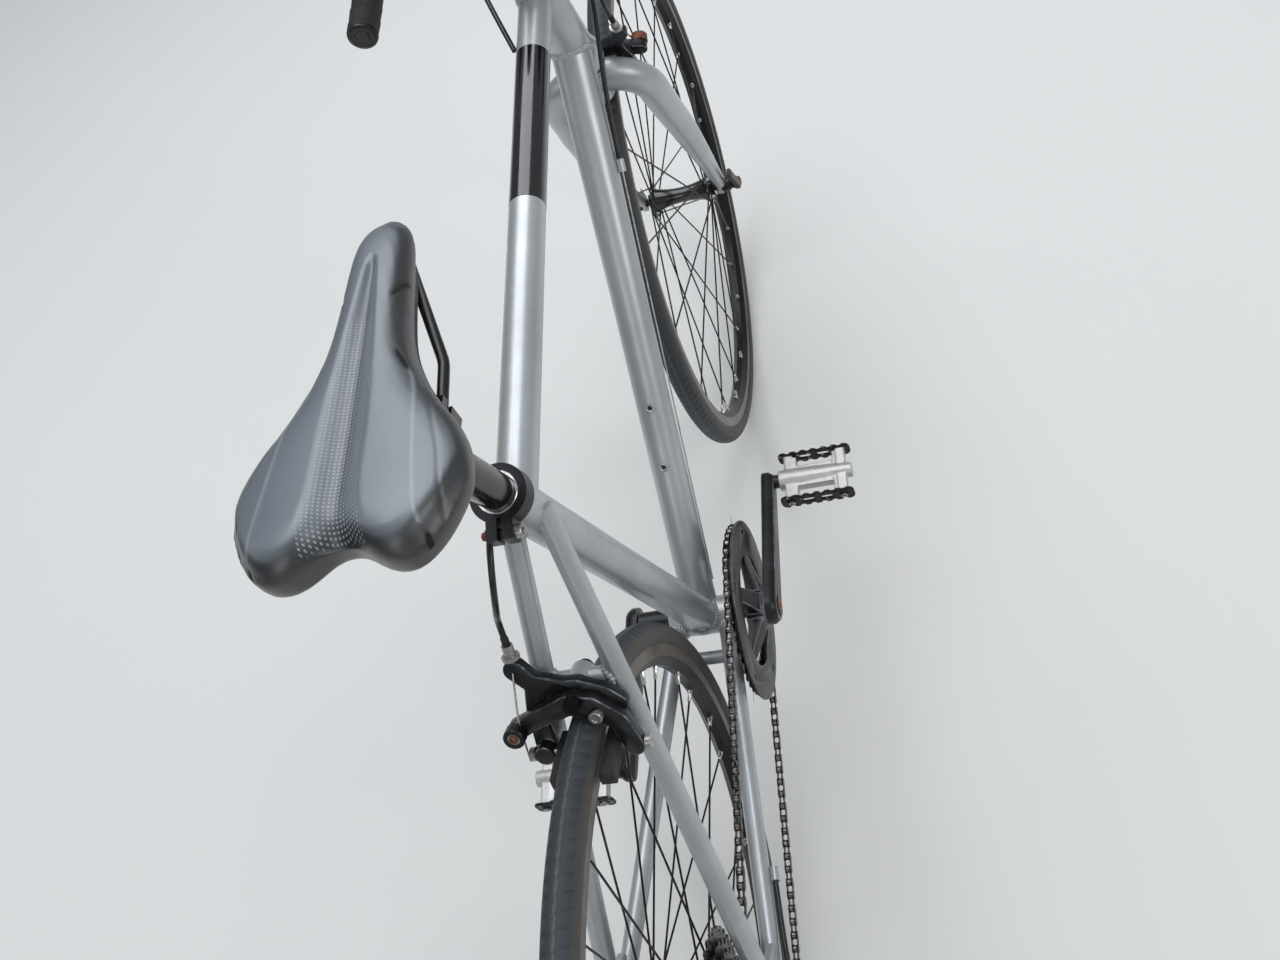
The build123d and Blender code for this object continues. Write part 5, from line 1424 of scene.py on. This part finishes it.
# Yellow plating that has dulled, which makes one bolt of each pedal warmer than the rest
brass = worn_finish(
    "brassy_plated_steel", "#B08A4E", "#7A5C38", 0.004, 0.0005, 0.00003, 0.3, 0.5, Metallic=0.9,
)
for side in ("left", "right"):
    low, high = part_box(f"{side}_pedal")
    middle = (Vector(low) + Vector(high)) / 2
    casting = bmesh.new()
    casting.from_mesh(nodes[f"{side}_pedal"].data)
    for along, length, depth, height in pedal_blocks:
        size = Matrix.Diagonal((depth, length, height, 1))
        bmesh.ops.create_cube(
            casting, size=1, matrix=Matrix.Translation(middle + left * (along * pedal_length)) @ size
        )
    pedal = link_piece(f"{side}_pedal_body", casting, pedal_finish(f"{side}_pedal_casting", middle))
    settle(pedal, *forged(0.0008, 3))
    fit(pedal, f"{side}_pedal", f"{side}_pedal")
    bolts = []
    for front in (1, -1):
        for share in (-0.36, 0.36):
            spot = middle + Vector((front * pedal_bolt_fore, share * pedal_length, 0))
            bolts.append((spot, Vector((front, 0, 0)), 0.0036, 0.0020))
    screw_piece(f"{side}_pedal_bolts", zinc_steel, f"{side}_pedal", bolts[:1] + bolts[2:])
    screw_piece(f"{side}_pedal_bolt_brass", brass, f"{side}_pedal", bolts[1:2])
dress(black_enamel, "pedal_pins")

# Rear derailleur: cast aluminium knuckles and links, satin black, and a pressed steel cage that
# holds two black plastic wheels on small bolts.
# Painted casting: a slightly lumpy satin black that chips to grey
body_black = worn_finish(
    "satin_black_casting", "#1B1C1E", "#3C3D3F", 0.008, 0.0008, 0.00008, 0.34, 0.52, Metallic=0.3
)
mech = copy_node("derailleur_body", "derailleur_casting", body_black, *forged(0.0010, 5))
fit(mech, "frame", "derailleur_body")
dress(body_black, "derailleur_cage")
hanger_out = 0.089
cage_half = 0.009
pulleys = [bracket + Vector((x, 0, z)) for x, z, _, _ in wraps[2:]]
hanger = rear_axle + Vector((0.006, 0, -0.028))
bolts = [(hanger - left * hanger_out, -left, 0.0068, 0.0020)]
for spot in pulleys:
    bolts.append((spot + left * (chain_y - cage_half), -left, 0.0046, 0.0016))
    bolts.append((spot + left * (chain_y + cage_half), left, 0.0040, 0.0012))
screw_piece("derailleur_bolts", zinc_steel, "frame", bolts)

# Stem: a forged aluminium clamp and extension, satin black. Four small bolts close its face on
# the bar, two close its rear on the steerer, and one holds the top cap.
spacer_stack = 0.0295
stem_clamp_height = 0.040
stem_low = head_high + steer_up * spacer_stack
stem_top = stem_low + steer_up * stem_clamp_height
stem_dir = (bar_middle - (stem_low + steer_up * (stem_clamp_height / 2))).normalized()
stem_high = Vector((-stem_dir.z, 0, stem_dir.x))
face_bolt_high, face_bolt_aside, face_bolt_ahead = 0.0187, 0.013, 0.009
pinch_bolts_along = (0.011, 0.029)
fit(copy_node("stem", "stem_forging", satin_black, *forged(0.0009, 4)), "steering", "stem")
bolts = [(stem_top + steer_up * 0.0048, steer_up, 0.0058, 0.0022)]
for above in (-face_bolt_high, face_bolt_high):
    for aside in (-face_bolt_aside, face_bolt_aside):
        spot = bar_middle + stem_high * above + stem_dir * face_bolt_ahead + left * aside
        bolts.append((spot, stem_dir, 0.0032, 0.0022))
for along in pinch_bolts_along:
    spot = stem_low + steer_up * along - steer_fore * 0.021 - left * 0.0078
    bolts.append((spot, -left, 0.0032, 0.0018))
screw_piece("stem_bolts", zinc_steel, "steering", bolts)
dress(polished_alloy, "handlebar")

# Bar tape: a soft black cork strip, wound round the bar from its ends with each turn lapping
# over the last, and held at the end by a plastic plug with a raised ring.
tape_radius = 0.0160
tape_lap = 0.0011
tape_pitch = 0.021
bar_half = 0.205
tape_start = 0.062
tape_turn_in = 0.0006
finish_start = 0.060
bar_bends = (0.035, 0.036, 0.050)
bar_corners = ((0.0, bar_half, 0.0), (0.079, bar_half, -0.015), (0.071, bar_half, -0.115))
bar_tip = Vector((-0.023, bar_half, -0.122))
ring_sides = 36
ring_pitch_along = 0.0015
plug_profile = (
    (0, -0.010), (0.0118, -0.010), (0.0118, -0.0004), (tape_radius - 0.0002, -0.0002),
    (tape_radius + 0.0002, 0.0012), (tape_radius - 0.0005, 0.0030), (0.0125, 0.0040), (0.0118, 0.0034),
    (0.0080, 0.0034), (0.0072, 0.0046), (0, 0.0046),
)
# Cork in foam plastic: matt and speckled, with a grain of about 1 mm as the real one has
cork_tape = worn_finish("black_cork_tape", "#141415", "#2B2B2C", 0.012, 0.0010, 0.00016, 0.55, 0.78)


def next_ring(bm, ring):
    """Extrude a ring's edges; the new edges and their corners come back."""
    edges = [part for part in ring if isinstance(part, bmesh.types.BMEdge)]
    made = bmesh.ops.extrude_edge_only(bm, edges=edges)["geom"]
    return [part for part in made if not isinstance(part, bmesh.types.BMFace)], corners(made)


def run_pipe(bm, points, bends, radius, sides, pitch, up):
    """Carry a ring along straight runs and round bends; each ring comes back with its place."""
    heading = (points[1] - points[0]).normalized()
    made = bmesh.ops.create_circle(
        bm, segments=sides, radius=radius, matrix=facing(points[0], heading, up)
    )["verts"]
    ring = made + list({edge for vert in made for edge in vert.link_edges})
    spot, gone = points[0].copy(), 0.0
    rings = [(spot.copy(), heading, up.copy(), gone, made)]
    for n, corner in enumerate(points[1:]):
        last = n == len(points) - 2
        heading = (corner - spot).normalized()
        trim = 0.0
        if not last:
            onward = (points[n + 2] - corner).normalized()
            angle = heading.angle(onward)
            trim = bends[n] * sin(angle / 2) / cos(angle / 2)
        run = (corner - spot).length - trim
        count = max(1, round(run / pitch))
        for _ in range(count):
            ring, verts = next_ring(bm, ring)
            bmesh.ops.translate(bm, verts=verts, vec=heading * (run / count))
            spot = spot + heading * (run / count)
            gone += run / count
            rings.append((spot.copy(), heading, up.copy(), gone, verts))
        if last:
            break
        axis = heading.cross(onward).normalized()
        centre = spot + axis.cross(heading) * bends[n]
        count = max(2, round(bends[n] * angle / pitch))
        for _ in range(count):
            swing = Matrix.Rotation(angle / count, 3, axis)
            ring, verts = next_ring(bm, ring)
            bmesh.ops.rotate(bm, verts=verts, cent=centre, matrix=swing)
            spot = centre + swing @ (spot - centre)
            up, heading = swing @ up, swing @ heading
            gone += bends[n] * angle / count
            rings.append((spot.copy(), heading.copy(), up.copy(), gone, verts))
    return rings


bm = bmesh.new()
plug_places = []
for hand in (1, -1):
    def handed(point):
        return bar_middle + Vector((point[0], point[1] * hand, point[2]))

    route = [handed((0, tape_start, 0))] + [handed(corner) for corner in bar_corners] + [handed(bar_tip)]
    rings = run_pipe(bm, route, bar_bends, tape_radius, ring_sides, ring_pitch_along, Vector((0, 0, 1)))
    for centre, heading, up, gone, verts in rings:
        beside = heading.cross(up) * hand
        for vert in verts:
            offset = vert.co - centre
            turn = atan2(offset.dot(beside), offset.dot(up)) / (2 * pi)
            lap = (gone / tape_pitch + turn) % 1.0
            rise = tape_lap * (step(0.0, 0.12, lap) * (1 - 0.75 * lap) - 0.55)
            vert.co = centre + offset * (1 + rise / tape_radius)
    for inward, (centre, heading, _, _, _) in ((tape_turn_in, rings[0]), (-tape_turn_in, rings[-1])):
        ends = [edge for edge in bm.edges if edge.is_boundary and (edge.verts[0].co - centre).length < 0.02]
        inner = bmesh.ops.extrude_edge_only(bm, edges=ends)["geom"]
        for vert in corners(inner):
            vert.co = centre + (vert.co - centre) * 0.80 + heading * inward
    tip, onward = rings[-1][0], rings[-1][1]
    plug_places.append(facing(tip, onward))
fit(link_piece("wound_bar_tape", bm, cork_tape, 30), "steering", "bar_tape")
turn_piece("bar_plugs", cover_plastic, "steering", plug_profile, plug_places, 40)
finish_profile = (
    (0.0130, 0), (0.0163, 0), (0.0166, 0.0008), (0.0166, 0.0120), (0.0160, 0.0126), (0.0130, 0.0126),
)
places = [facing(bar_middle + left * (hand * finish_start), left * hand) for hand in (1, -1)]
turn_piece(
    "tape_finish_bands", cover_plastic, "steering", finish_profile, places, 36, closed=True,
)

# Brake hoods and levers: soft black rubber stretched over each lever's body, and a cast
# aluminium blade, satin grey, that swings in front of the drop.
# Soft rubber is dull and grips dust; a painted casting is satin and rubs to bare grey
hood_rubber = worn_finish("soft_hood_rubber", "#17181A", "#2D2E30", 0.02, 0.0012, 0.0001, 0.5, 0.72)
blade_grey = worn_finish(
    "grey_lever_casting", "#3A3C3F", "#6D6F71", 0.008, 0.0007, 0.00004, 0.26, 0.42, Metallic=0.6
)
hoods = copy_node("lever_hoods", "soft_hoods", hood_rubber, *forged(0.0013, 16))
fit(hoods, "steering", "lever_hoods")
blades = copy_node("brake_levers", "lever_blades", blade_grey, *forged(0.0010, 8))
fit(blades, "steering", "brake_levers")
pivot_fore, pivot_aside, pivot_up = 0.110, 0.0158, 0.010
bolts = []
for hand in (1, -1):
    for side in (1, -1):
        spot = bar_middle + Vector((pivot_fore, hand * bar_half + side * pivot_aside, pivot_up))
        bolts.append((spot, left * side, 0.0040, 0.0014))
screw_piece("lever_pivots", zinc_steel, "steering", bolts)
low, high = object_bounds()
